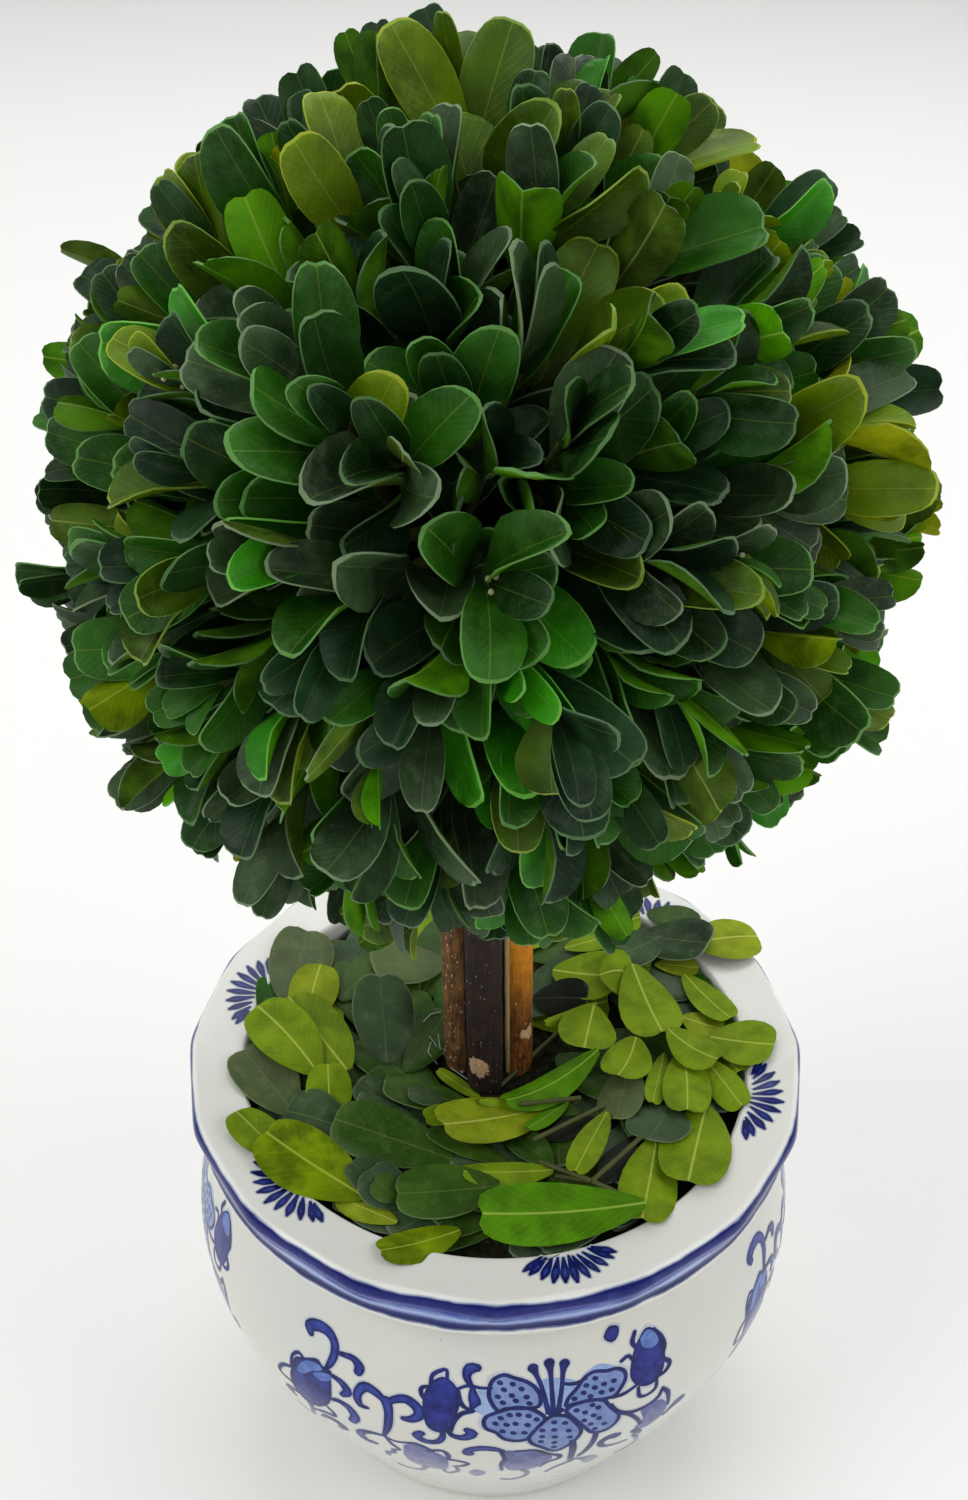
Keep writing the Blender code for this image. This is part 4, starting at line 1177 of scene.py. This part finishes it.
# Where the dye lots lie: each lot's base share, and how it leans towards directions on the ball.
TINT_SHARES = (
    ("deep", 0.23, ()),
    ("blue", 0.20, ()),
    ("grey", 0.10, (((0.0, 0.3, 1.0), 0.6), ((-0.4, -0.7, -0.6), 1.0))),
    ("mid", 0.26, (((0.6, -0.5, -0.2), 0.6),)),
    ("olive", 0.11, (((-0.8, -0.1, 0.6), 1.0), ((0.6, -0.1, 0.8), 0.5), (PARTING, -0.48))),
    ("bright", 0.06, (((0.5, -0.7, -0.4), 0.9),)),
    ("yellow", 0.05, (((-0.7, -0.1, 0.7), 1.1), ((0.5, 0.1, 0.9), 0.6), ((-0.4, -0.5, -0.7), 0.6),
                      (PARTING, -0.48))),
)
SHOOT_TINT_SHARE = 0.55
CORE_RADIUS = 37 * MM
CORE_LUMPS = (0.05, 7 * MM)
TWIG_RADII = (1.1 * MM, 0.9 * MM, 0.6 * MM)
# Flower buds: their share of the shoots, their number on each, their size and how far they spread.
BUD_SHARE = 0.12
BUD_SEEDS = 6
BUD_RADIUS = 0.5 * MM
BUD_SPREAD = 1.1 * MM


def spiral_direction(index, count):
    """The index-th of count directions spread evenly over a sphere."""
    height = 1 - 2 * (index + 0.5) / count
    turn = index * math.pi * (3 - math.sqrt(5))
    level = math.sqrt(1 - height * height)
    return Vector((level * math.cos(turn), level * math.sin(turn), height))


def any_direction(rng):
    return Vector((rng.gauss(0, 1), rng.gauss(0, 1), rng.gauss(0, 1))).normalized()


def clear_of_stems(points):
    """True where every point is outside the bundle, or above the sticks' tips."""
    for point in points:
        middle = bundle_middle(point.z)
        beside = math.hypot(point.x - middle.x, point.y - middle.y) >= BUNDLE_RADIUS
        if not beside and point.z <= STEM_TOP + GAP:
            return False
    return True


class Spaces:
    """The blades that have grown, to keep a new one from cutting through them."""

    def __init__(self, shapes):
        self.samples = [leaf_samples(shape, BLADE_ROWS, BLADE_SIDES) for shape in shapes]
        self.trees = []
        self.middles = np.zeros((0, 3))
        self.reaches = np.zeros(0)

    def take(self, leaf):
        """Keeps the leaf's place if it is free, and tells whether it was."""
        points = leaf_points(self.samples[leaf["pick"]], leaf)
        tree, middle = BVHTree.FromPolygons(points.tolist(), BLADE_FACES), points.mean(axis=0)
        reach = leaf["size"][0] * BLADE_REACH
        near = np.linalg.norm(self.middles - middle, axis=1) < self.reaches + reach
        if any(self.trees[i].overlap(tree) for i in np.nonzero(near)[0]):
            return False
        self.trees.append(tree)
        self.middles = np.vstack([self.middles, middle])
        self.reaches = np.append(self.reaches, reach)
        return True


def new_leaf(root, along, face_up, length, width, pick):
    """A leaf's root, its length, side and upward directions, its size and its shape's number."""
    return {"root": root, "axes": Matrix((along, face_up.cross(along), face_up)).transposed(),
            "size": (length, width, length), "pick": pick}


def leaf_points(samples, leaf):
    """Samples of a leaf's shape, in their place."""
    return samples * leaf["size"] @ np.array(leaf["axes"]).T + np.array(leaf["root"])


def grow_leaf(root, heading, side, facing, lengths_mm, spreads_deg, reach, spaces, rng):
    """A leaf that leaves its shoot towards side: turned until it fits, shortened to stay in, or skipped."""
    length = rng.uniform(*lengths_mm) * MM
    slenderness = rng.uniform(*LEAF_SLENDERNESS)
    pick = rng.randrange(LEAF_SHAPES)
    turn_to_parting = rng.random() < FACING_SHARE
    for _ in range(LEAF_TRIES):
        spread = math.radians(rng.uniform(*spreads_deg))
        turned = Matrix.Rotation(rng.uniform(-LEAF_TURN, LEAF_TURN), 3, heading) @ side
        along = heading * math.cos(spread) + turned * math.sin(spread)
        face_up = heading * math.sin(spread) - turned * math.cos(spread)
        if turn_to_parting:
            level = facing - along * facing.dot(along)
            face_up = (OWN_FACING * face_up + level).normalized()
        face_up = Matrix.Rotation(rng.uniform(-LEAF_ROLL, LEAF_ROLL), 3, along) @ face_up
        out = root - BALL_CENTRE
        across = out.dot(along)
        room = -across + math.sqrt(max(0, across ** 2 + reach ** 2 - out.length_squared))
        long = min(length, room)
        tip = root + along * long
        if long < SHORTEST_MM * MM or not clear_of_stems([root, (root + tip) / 2, tip]):
            continue
        leaf = new_leaf(root, along, face_up, long, long * slenderness, pick)
        if spaces.take(leaf):
            return leaf
        length *= LEAF_SHRINK
    return None


def tint_for(direction, rng):
    weights = []
    for _, share, leanings in TINT_SHARES:
        weight = share
        for towards, gain in leanings:
            weight += share * gain * 2 * max(0, direction.dot(Vector(towards).normalized())) ** 3
        weights.append(weight)
    return rng.choices([name for name, _, _ in TINT_SHARES], weights)[0]


def grow_ball(shapes):
    """The shoots, each with its foot, tip and heading, and the leaves of each dye lot."""
    rng = random.Random(SEED + 2)
    spaces = Spaces(shapes)
    shoots, growths = [], []
    leaves = {tint: [] for tint in LEAF_TINTS}
    for i in range(SHOOTS):
        outward = (spiral_direction(i, SHOOTS) + SHOOT_JITTER * any_direction(rng)).normalized()
        depth = outward.dot(PARTING)
        lean = (outward * depth - PARTING) * 2 * depth * PARTING_LEAN
        heading = (outward + lean + SHOOT_TILT * any_direction(rng)).normalized()
        tip = BALL_CENTRE + outward * rng.uniform(*TIP_RADIUS_MM) * MM
        foot = tip - heading * (tip - BALL_CENTRE).length + outward * SHOOT_FOOT
        foot = BALL_CENTRE + (foot - BALL_CENTRE).normalized() * SHOOT_FOOT
        if not clear_of_stems([tip, foot]):
            continue
        heading = (tip - foot).normalized()
        side = heading.cross(any_direction(rng)).normalized()
        facing = PARTING if depth > 0 else -PARTING
        growths.append((side, facing, rng.uniform(*REACH_MM) * MM, outward, tint_for(outward, rng)))
        shoots.append((foot, tip, heading))
    for k, (down, lengths, spreads) in enumerate(PAIRS):
        for (_, tip, heading), (side, facing, reach, outward, tint) in zip(shoots, growths):
            root = tip - heading * down * MM
            pair = side if k % 2 == 0 else heading.cross(side)
            for way in (1, -1):
                made = grow_leaf(root, heading, pair * way, facing, lengths, spreads, reach, spaces, rng)
                if made:
                    own = tint if rng.random() < SHOOT_TINT_SHARE else tint_for(outward, rng)
                    leaves[own].append(made)
    return shoots, leaves


def tube_tree():
    """A tapering tube along each edge chain, with closed ends."""
    tree, node, given = new_group(
        "twigs along lines", {"Lines": "Geometry", "Sides": "Int", "Bark": "Material"}, "Twigs")
    thick = node("GeometryNodeInputNamedAttribute", {"data_type": "FLOAT"}, "thick")
    curves = node("GeometryNodeMeshToCurve", {}, given["Lines"])
    ring = node("GeometryNodeCurvePrimitiveCircle", {}, given["Sides"], 1.0)
    tubes = node("GeometryNodeCurveToMesh", {}, curves, ring, thick, True)
    tubes = node("GeometryNodeRealizeInstances", {}, tubes)
    node("NodeGroupOutput", {}, node("GeometryNodeSetMaterial", {}, tubes, None, given["Bark"]))
    return tree


def tubes_mesh(name, lines, sides, material, tree):
    """Tubes along lines, each a list of (point, radius), as one mesh."""
    points, edges, thick = [], [], []
    for line in lines:
        for i, (point, radius) in enumerate(line):
            if i:
                edges.append((len(points) - 1, len(points)))
            points.append(point)
            thick.append(radius)
    holder = points_object(name + "_lines", points, edges, {"thick": ("FLOAT", thick)})
    return turned_out(grown(name, holder, tree, {"Sides": sides, "Bark": material}), 60, 1e-6)


def make_twig_bark():
    """Young green-brown boxwood twigs: satin, finely mottled."""
    return grainy("young boxwood twig", {"Roughness": 0.6, "IOR": 1.45}, ("#5A6428", "#3A3A1C"), 1.5 * MM, 4)


def make_buds(shoots):
    """Tiny flower buds, pale and matt, a few together at some shoots' tips."""
    rng = random.Random(SEED + 4)
    shape = bmesh.new()
    for _, tip, heading in shoots:
        if rng.random() > BUD_SHARE:
            continue
        for _ in range(BUD_SEEDS):
            place = tip + heading * rng.uniform(0.5, 2.5) * MM + any_direction(rng) * BUD_SPREAD
            size = BUD_RADIUS * rng.uniform(0.7, 1.2)
            bmesh.ops.create_icosphere(shape, subdivisions=1, radius=size, matrix=Matrix.Translation(place))
    made = grainy(
        "pale boxwood flower bud", {"Roughness": 0.6, "IOR": 1.45}, ("#8A9A58", "#D2D2A0"), 0.8 * MM)
    return poured(shape, bpy.data.meshes.new("ball_buds"), made)


def make_shade_core():
    """Painted shade inside the ball: a near-black, dull and lumpy shell that stands for the shaded depths
    where dry twigs and shaded leaves pack together.
    """
    shape = bmesh.new()
    bmesh.ops.create_icosphere(shape, subdivisions=5, radius=CORE_RADIUS)
    height, size = CORE_LUMPS
    for vertex in shape.verts:
        vertex.co *= 1 + height * noise.noise(vertex.co / size)
    bmesh.ops.translate(shape, verts=shape.verts, vec=BALL_CENTRE)
    made = grainy("shaded inner foliage", {"Roughness": 0.95, "Specular IOR Level": 0.1},
                  ("#070B07", "#16200F"), 3 * MM, 5, 0.7, (0.4, 0.7), 1 * MM)
    return poured(shape, bpy.data.meshes.new("ball_core"), made)


def make_ball(materials, tubes):
    pieces = {"ball_core": make_shade_core()}
    shapes = leaf_shapes(GROWN_BENDS, GROWN_FULL)
    shoots, leaves = grow_ball(shapes)
    tree, meshes = leaf_tree(), make_leaf_meshes(shapes)
    for tint, own_leaves in leaves.items():
        if own_leaves:
            name = "ball_leaves_" + tint
            pieces[name] = grow_piece(name, own_leaves, tree, meshes, materials[tint])
    for shape in list(meshes.objects):
        bpy.data.objects.remove(shape)
    bpy.data.collections.remove(meshes)
    lines = [list(zip((foot, (foot + tip) / 2, tip), TWIG_RADII)) for foot, tip, _ in shoots]
    pieces["ball_twigs"] = tubes_mesh("ball_twigs", lines, 6, make_twig_bark(), tubes)
    pieces["ball_buds"] = make_buds(shoots)
    for name, mesh in pieces.items():
        settle(name, mesh, "ball_leaves", "leaf_ball")


# The leaf cover: boxwood leaves laid in a swirl on a bed round the sticks

BED_TOP = 88.0 * MM
BED_DIP = 83.6 * MM
BED_FOOT = 82.3 * MM
BED_RADIUS = 46.6 * MM
BED_CREST = 30 * MM
BED_DIP_RADIUS = 11 * MM
# Beyond the crest the bed's top slopes down to its edge: radius and how far down.
BED_EDGE = ((38 * MM, 0), (44 * MM, 0.6 * MM), (BED_RADIUS, 2.4 * MM))
BED_STEPS = 120
# The moss's lumps: their height and size, and the radius and the height above its foot that they keep to.
BED_LUMPS = (0.7 * MM, 3 * MM, 45 * MM, 1 * MM)
# Each ring: leaves, radius of their roots in mm and swing range in degrees.
COVER_RINGS = (
    (30, 37.5, (-88, -70)),
    (20, 30, (-88, -45)),
    (14, 21, (-85, -35)),
    (9, 14, (-85, -50)),
)
COVER_LENGTH_MM = (17, 22)
COVER_SLENDERNESS = (0.5, 0.62)
COVER_WIDEST_MM = 50.6
COVER_TINTS = (("shade", 0.34), ("slate", 0.26), ("mid", 0.14), ("laid", 0.26))
OPEN_FRONT_TINTS = ("shade", "slate")
SEEN_BROADER_HALF = 1.02
# Leaves laid where the photo shows them: root, tip and widest point of the broader half in the photo's
# pixels, dye lot, the face that is up, and how far the tip stands up in mm.
SEEN_LEAVES = (
    ((648, 912), (698, 925), (672, 905), "shade", "upper", 1),
    ((592, 925), (641, 918), (610, 908), "laid", "under", 2),
    ((340, 1000), (385, 955), (350, 965), "shade", "upper", 1),
    ((565, 948), (621, 932), (595, 927), "laid", "under", 1),
    ((692, 944), (758, 938), (720, 919), "laid_pale", "under", 2),
    ((655, 964), (699, 968), (675, 956), "laid_pale", "under", 0),
    ((640, 936), (710, 943), (680, 921), "grey", "upper", 2),
    ((662, 936), (617, 955), (640, 965), "grey", "upper", 1),
    ((280, 1048), (268, 976), (257, 1010), "mid", "upper", 0),
    ((285, 1000), (308, 929), (333, 955), "moss", "upper", 1),
    ((445, 962), (372, 966), (410, 943), "moss", "upper", 1),
    ((306, 1025), (321, 964), (289, 990), "laid_pale", "under", 1),
    ((347, 1070), (287, 996), (338, 1007), "laid", "under", 1),
    ((295, 1114), (243, 1047), (298, 1066), "moss", "upper", 1),
    ((318, 1073), (257, 1007), (300, 1013), "laid", "under", 1),
    ((332, 1122), (328, 1063), (354, 1090), "laid", "under", 1),
    ((348, 1130), (285, 1110), (320, 1096), "grey", "upper", 0),
    ((405, 1072), (446, 1010), (412, 1030), "shade", "upper", 2),
    ((553, 970), (619, 977), (585, 953), "laid", "under", 1),
    ((533, 999), (588, 998), (560, 983), "dark", "upper", 0),
    ((600, 975), (634, 974), (620, 957), "laid", "under", 1),
    ((682, 1017), (723, 1030), (700, 1037), "laid_pale", "under", 0),
    ((684, 974), (731, 1020), (692, 1003), "laid", "under", 1),
    ((645, 1030), (600, 1052), (620, 1035), "slate", "upper", 0),
    ((632, 964), (663, 1035), (682, 1003), "laid", "under", 2),
    ((597, 1003), (544, 1024), (570, 1009), "laid", "under", 1),
    ((594, 1005), (584, 1049), (621, 1024), "laid", "under", 1),
    ((710, 1037), (775, 1046), (742, 1066), "laid", "under", 1),
    ((600, 1120), (540, 1135), (570, 1112), "dark", "upper", 0),
    ((640, 1135), (600, 1180), (612, 1145), "dark", "upper", 0),
    ((657, 1137), (641, 1223), (618, 1178), "laid", "under", 1),
    ((706, 1106), (688, 1183), (737, 1138), "laid", "under", 1),
    ((668, 1103), (648, 1139), (623, 1118), "slate", "upper", 1),
    ((630, 1064), (615, 1119), (648, 1088), "moss", "upper", 1),
    ((704, 1058), (743, 1106), (737, 1075), "laid", "under", 1),
    ((664, 1053), (652, 1105), (646, 1080), "laid", "under", 0),
    ((684, 1050), (687, 1113), (711, 1083), "laid", "under", 1),
    ((636, 1037), (617, 1076), (599, 1054), "laid", "under", 1),
    ((668, 1029), (719, 1060), (677, 1056), "laid", "under", 1),
    ((402, 1106), (367, 1072), (395, 1068), "shade", "upper", 1),
    ((397, 1112), (357, 1082), (372, 1078), "slate", "upper", 1),
    ((427, 1126), (358, 1094), (380, 1115), "slate", "upper", 1),
    ((387, 1063), (380, 972), (412, 1003), "slate", "upper", 9),
    ((452, 1160), (333, 1117), (395, 1112), "shade", "upper", 1),
    ((287, 1160), (236, 1112), (262, 1106), "laid", "under", 1),
    ((397, 1222), (337, 1197), (365, 1195), "laid_pale", "under", 0),
    ((364, 1196), (263, 1132), (320, 1128), "olive", "under", 1),
    ((467, 1103), (383, 1083), (425, 1071), "shade", "upper", 1),
    ((443, 1099), (408, 1092), (425, 1083), "slate", "upper", 1),
    ((482, 1100), (437, 1070), (455, 1075), "laid", "under", 1),
    ((470, 1108), (424, 1118), (445, 1123), "laid", "under", 0),
    ((388, 1202), (352, 1160), (372, 1160), "slate", "upper", 0),
    ((402, 1207), (370, 1168), (398, 1166), "slate", "upper", 1),
    ((400, 1200), (374, 1180), (392, 1177), "shade", "upper", 1),
    ((552, 1166), (512, 1133), (545, 1140), "shade", "upper", 0),
    ((505, 1162), (428, 1128), (440, 1152), "shade", "upper", 0),
    ((460, 1230), (378, 1252), (402, 1226), "olive", "under", 0),
    ((553, 1170), (461, 1172), (505, 1156), "laid", "under", 1),
    ((500, 1186), (395, 1196), (440, 1167), "shade", "upper", 1),
    ((645, 1203), (477, 1216), (540, 1182), "fresh", "under", 2),
    ((551, 1106), (439, 1127), (487, 1152), "laid_pale", "under", 2),
    ((547, 1098), (477, 1101), (515, 1093), "laid", "under", 0),
    ((568, 1102), (527, 1130), (540, 1110), "fresh", "under", 1),
    ((607, 1112), (574, 1175), (575, 1138), "laid", "under", 2),
    ((598, 1050), (503, 1099), (540, 1060), "fresh", "under", 1),
)
# Bits of twig that lie on the leaves, by their ends in the photo's pixels.
SEEN_TWIGS = (
    ((520, 1104), (581, 1098)), ((533, 1140), (603, 1106)), ((592, 1181), (641, 1137)),
    ((540, 1162), (592, 1181)), ((592, 1181), (618, 1193)), ((556, 1176), (592, 1181)),
    ((500, 1086), (556, 1034)),
)
# Wisps of hardened glue at the sticks' feet.
GLUE_WISPS = (
    ((423, 1022), (431, 1014), (441, 1012)), ((429, 1036), (436, 1045), (445, 1057)),
    ((438, 1034), (440, 1048), (449, 1061), (463, 1073)), ((474, 1081), (486, 1091), (501, 1087)),
    ((469, 1077), (479, 1088), (492, 1090)), ((444, 1048), (451, 1068), (470, 1081)),
    ((431, 1042), (428, 1052), (437, 1064)), ((482, 1084), (490, 1086), (498, 1092)),
)
WISP_RADIUS = 0.11 * MM
SEEN_TWIG_RADIUS = 0.45 * MM
HEAP_CELL = 1 * MM
HEAP_REACH = 62 * MM
HEAP_ROWS = np.linspace(0.02, 1.0, 22)
HEAP_SIDES = np.linspace(-1, 1, 11)
HEAP_GAP = 0.06 * MM
HEAP_MOST = 99 * MM
OUTSIDE_HEIGHT = 90 * MM
SETTLE_ROUNDS = 5
FIT_ROUNDS = 3
STEEPEST = 0.24
# How far a leaf may bend to lie on others: across, along, about its midrib and by twisting.
DRAPE_LIMITS = np.array((0.3, 0.7, 0.7, 0.3))
STIFFNESS = 2.0
PRESSED = 88


def bed_height(radius):
    """The bed is level outside its crest and slopes down to the dip round the sticks."""
    share = np.clip((radius - BED_DIP_RADIUS) / (BED_CREST - BED_DIP_RADIUS), 0, 1)
    return BED_DIP + (BED_TOP - BED_DIP) * share


def drape_terms(points):
    """The ways in which a laid leaf bends: a tilt across, an arch along, a gutter and a twist."""
    x, y = points[:, 0], points[:, 1]
    return np.stack([y, x * (1 - x), y * y, x * y], 1)


class Heap:
    """How high the bed, the rim and the leaves laid so far stand, cell by cell."""

    def __init__(self, shapes):
        self.samples = [leaf_samples(shape, HEAP_ROWS, HEAP_SIDES) for shape in shapes]
        places = np.arange(-HEAP_REACH, HEAP_REACH, HEAP_CELL) + HEAP_CELL / 2
        radius = np.hypot(*np.meshgrid(places, places))
        depth, edge = np.array((*MOUTH_MM, *RIM_MM)).T * MM
        rim = np.interp(radius, edge, POT_HEIGHT - depth, right=OUTSIDE_HEIGHT)
        self.height = np.where(radius < MOUTH_RADIUS, bed_height(radius), rim)

    def cells(self, points):
        found = ((points[:, (1, 0)] + HEAP_REACH) / HEAP_CELL).astype(int)
        return tuple(found.clip(0, len(self.height) - 1).T)

    def seen_height(self, pixel):
        """The height of the heap where the photo shows a pixel."""
        height = BED_TOP
        for _ in range(SETTLE_ROUNDS):
            height = self.height[self.cells(np.array([seen_at(pixel, height)]))][0]
        return height

    def rest(self, leaf_at, rise=0.0):
        """Lays the leaf that leaf_at(root's height, tip's height) gives, bent over what is under it, its tip
        up by rise."""
        root_height = tip_height = BED_TOP
        for _ in range(SETTLE_ROUNDS):
            leaf = leaf_at(root_height, tip_height)
            length, width = leaf["size"][:2]
            samples = self.samples[leaf["pick"]]
            thick = BLADE_THICK * LAID_THICK * length
            bend = samples[:, 2] * length
            low = bend if leaf["axes"][2][2] > 0 else -bend - thick
            points = leaf_points(samples * (1, 1, 0), leaf)
            lack = self.height[self.cells(points)] + HEAP_GAP - points[:, 2]
            terms = np.column_stack([1 - samples[:, 0], samples[:, 0], drape_terms(samples)])
            stiff = np.column_stack([np.zeros((4, 2)), np.eye(4) * STIFFNESS])
            weight = np.ones(len(lack))
            for _ in range(FIT_ROUNDS):
                found = np.linalg.lstsq(np.vstack([terms * weight[:, None], stiff]),
                                        np.concatenate([lack * weight, np.zeros(4)]), rcond=None)[0]
                weight = np.where(lack > terms @ found, 2.0, 1.0)
            limits = DRAPE_LIMITS * (width, length, width, width)
            drape = found[2:].clip(-limits, limits)
            bent = terms[:, :2] @ found[:2] + terms[:, 2:] @ drape
            lift = np.percentile(lack - bent - low, PRESSED)
            root_height = min(HEAP_MOST, root_height + found[0] + lift)
            tip_height = min(HEAP_MOST, tip_height + found[1] + lift)
            root_height = max(root_height, tip_height - STEEPEST * length, BED_DIP)
            tip_height = max(tip_height, root_height - STEEPEST * length, BED_DIP)
        leaf = leaf_at(root_height, tip_height + rise)
        leaf["drape"] = drape
        points = leaf_points(samples * (1, 1, 0), leaf)
        top = points[:, 2] + terms[:, 2:] @ drape + low + thick
        np.maximum.at(self.height, self.cells(points), top)
        return leaf


def flat_leaf(root, tip, width, face, pick):
    """A leaf from root to tip that lies with one face up."""
    along = (tip - root).normalized()
    level = Vector((0, 0, 1)).cross(along).normalized()
    face_up = along.cross(level)
    return new_leaf(root, along, face_up if face == "upper" else -face_up, (tip - root).length, width, pick)


def ring_leaf(turn_deg, radius, swing_deg, length, width, pick, face):
    """A maker of leaves for the heap, by their place in a ring."""
    out = Vector((math.cos(math.radians(turn_deg)), math.sin(math.radians(turn_deg)), 0))
    flat = Matrix.Rotation(math.radians(swing_deg), 3, "Z") @ out

    def leaf_at(root_height, tip_height):
        root = out * radius + Vector((0, 0, root_height))
        tip = out * radius + flat * length + Vector((0, 0, tip_height))
        return flat_leaf(root, tip, width, face, pick)

    return leaf_at


def seen_leaf(root_px, tip_px, side_px, pick, face):
    """A maker of leaves for the heap, by their place in the photo."""
    def leaf_at(root_height, tip_height):
        root, tip = seen_at(root_px, root_height), seen_at(tip_px, tip_height)
        beside = seen_at(side_px, (root_height + tip_height) / 2) - root
        along = (tip - root).normalized()
        width = 2 * (beside - along * beside.dot(along)).length / SEEN_BROADER_HALF
        return flat_leaf(root, tip, width, face, pick)

    return leaf_at


def lay_leaves(name, leaves, parts, materials):
    """The laid leaves as one mesh, each bent as it lies."""
    points, faces, kinds, places = [], [], [], []
    for leaf in leaves:
        own, own_faces, own_kinds, own_places = parts[leaf["pick"]]
        laid = leaf_points(own, leaf)
        laid[:, 2] += drape_terms(own) @ leaf["drape"]
        faces += [[len(points) + v for v in face] for face in own_faces]
        points += laid.tolist()
        kinds += own_kinds
        places += own_places
    mesh = leaves_mesh(name, points, faces, places)
    for material in materials:
        mesh.materials.append(material)
    mesh.polygons.foreach_set("material_index", kinds)
    return mesh


def make_bed():
    """Dark dried moss and crumbs under the leaves: dull and lumpy."""
    profile = [(0, BED_DIP), (BED_DIP_RADIUS, BED_DIP), (20 * MM, bed_height(20 * MM)), (BED_CREST, BED_TOP),
               *((radius, BED_TOP - down) for radius, down in BED_EDGE),
               (BED_RADIUS, BED_FOOT), (0, BED_FOOT)]
    height, size, reach, foot = BED_LUMPS

    def lumpy(x, y, z):
        if z > BED_FOOT + foot and math.hypot(x, y) < reach:
            z += height * noise.noise(Vector((x, y, 0)) / size)
        return x, y, z

    mesh = lathe("cover_bed", spline(profile, 1.2 * MM), BED_STEPS, lumpy)
    mesh.materials.append(grainy(
        "dark dried moss", {"Roughness": 0.95, "Specular IOR Level": 0.15},
        ("#10140C", "#34381C"), 1.6 * MM, 6, 0.75, (0.38, 0.68), 0.8 * MM))
    return mesh


def lay_cover(heap):
    """The leaves of each dye lot: rings by a rule, then those that the photo shows clearly."""
    rng = random.Random(SEED + 3)
    leaves = {tint: [] for tint in LEAF_TINTS}
    names, shares = zip(*COVER_TINTS)
    for count, root_mm, swings in COVER_RINGS:
        start = rng.uniform(0, 360)
        for i in range(count):
            turn = start + 360 * (i + rng.uniform(-0.35, 0.35)) / count
            length = rng.uniform(*COVER_LENGTH_MM) * MM
            radius = (root_mm + rng.uniform(-2, 2)) * MM
            swing = rng.uniform(*swings)
            slenderness = rng.uniform(*COVER_SLENDERNESS)
            swung = math.radians(swing)
            reach = math.hypot(radius + length * math.cos(swung), length * math.sin(swung))
            length *= min(1, (COVER_WIDEST_MM * MM / (reach + 0.5 * length * slenderness)) ** 2)
            tint = rng.choices(names, shares)[0]
            if math.sin(math.radians(turn)) < 0 and tint not in OPEN_FRONT_TINTS:
                tint = OPEN_FRONT_TINTS[i % 2]
            face = "under" if tint == "laid" else "upper"
            pick = rng.randrange(LEAF_SHAPES)
            leaf_at = ring_leaf(turn, radius, swing, length, length * slenderness, pick, face)
            trial = leaf_at(BED_TOP, BED_TOP)
            along = trial["axes"].col[0]
            if clear_of_stems([trial["root"] + along * length * share for share in (0, 0.5, 1)]):
                leaves[tint].append(heap.rest(leaf_at))
    for root_px, tip_px, side_px, tint, face, rise in SEEN_LEAVES:
        leaf_at = seen_leaf(root_px, tip_px, side_px, rng.randrange(LEAF_SHAPES), face)
        leaves[tint].append(heap.rest(leaf_at, rise * MM))
    return leaves


def make_cover(materials, tubes):
    pieces = {"cover_bed": make_bed()}
    shapes = leaf_shapes(LAID_BENDS, LAID_FULL)
    parts = [leaf_parts(shape, LAID_THICK) for shape in shapes]
    heap = Heap(shapes)
    for tint, laid in lay_cover(heap).items():
        if laid:
            name = "cover_leaves_" + tint
            pieces[name] = lay_leaves(name, laid, parts, materials[tint])
    # Hardened hot glue: milky, smooth and half clear.
    glue = grainy("milky hot glue", {"Roughness": 0.3, "IOR": 1.48}, ("#8E9890", "#C4CCC4"), 1 * MM)
    for name, seen, radius, material in (("cover_twigs", SEEN_TWIGS, SEEN_TWIG_RADIUS, make_twig_bark()),
                                         ("glue_wisps", GLUE_WISPS, WISP_RADIUS, glue)):
        lines = [[(seen_at(spot, heap.seen_height(spot) + radius), radius) for spot in line] for line in seen]
        pieces[name] = tubes_mesh(name, lines, 8, material, tubes)
    for name, mesh in pieces.items():
        settle(name, mesh, "cover_leaves", "leaf_cover")


def dress_foam():
    """The foam shows nowhere but holds the sticks, so it keeps its CAD shape. It is dry florist foam: matt,
    open and crumbly."""
    made = grainy("dry florist foam", {"Roughness": 0.95, "Specular IOR Level": 0.1}, ("#39402A", "#5A6242"),
                  0.9 * MM, 5, 0.7, (0.35, 0.65), 0.4 * MM)
    for slot in frame["nodes"]["foam_plug"].material_slots:
        slot.material = made


make_camera()
make_studio()
make_pot()
make_painting()
for stick, bark in BARKS.items():
    make_stick(stick, *bark)
leaf_materials, tube_group = make_leaf_materials(), tube_tree()
make_ball(leaf_materials, tube_group)
make_cover(leaf_materials, tube_group)
dress_foam()
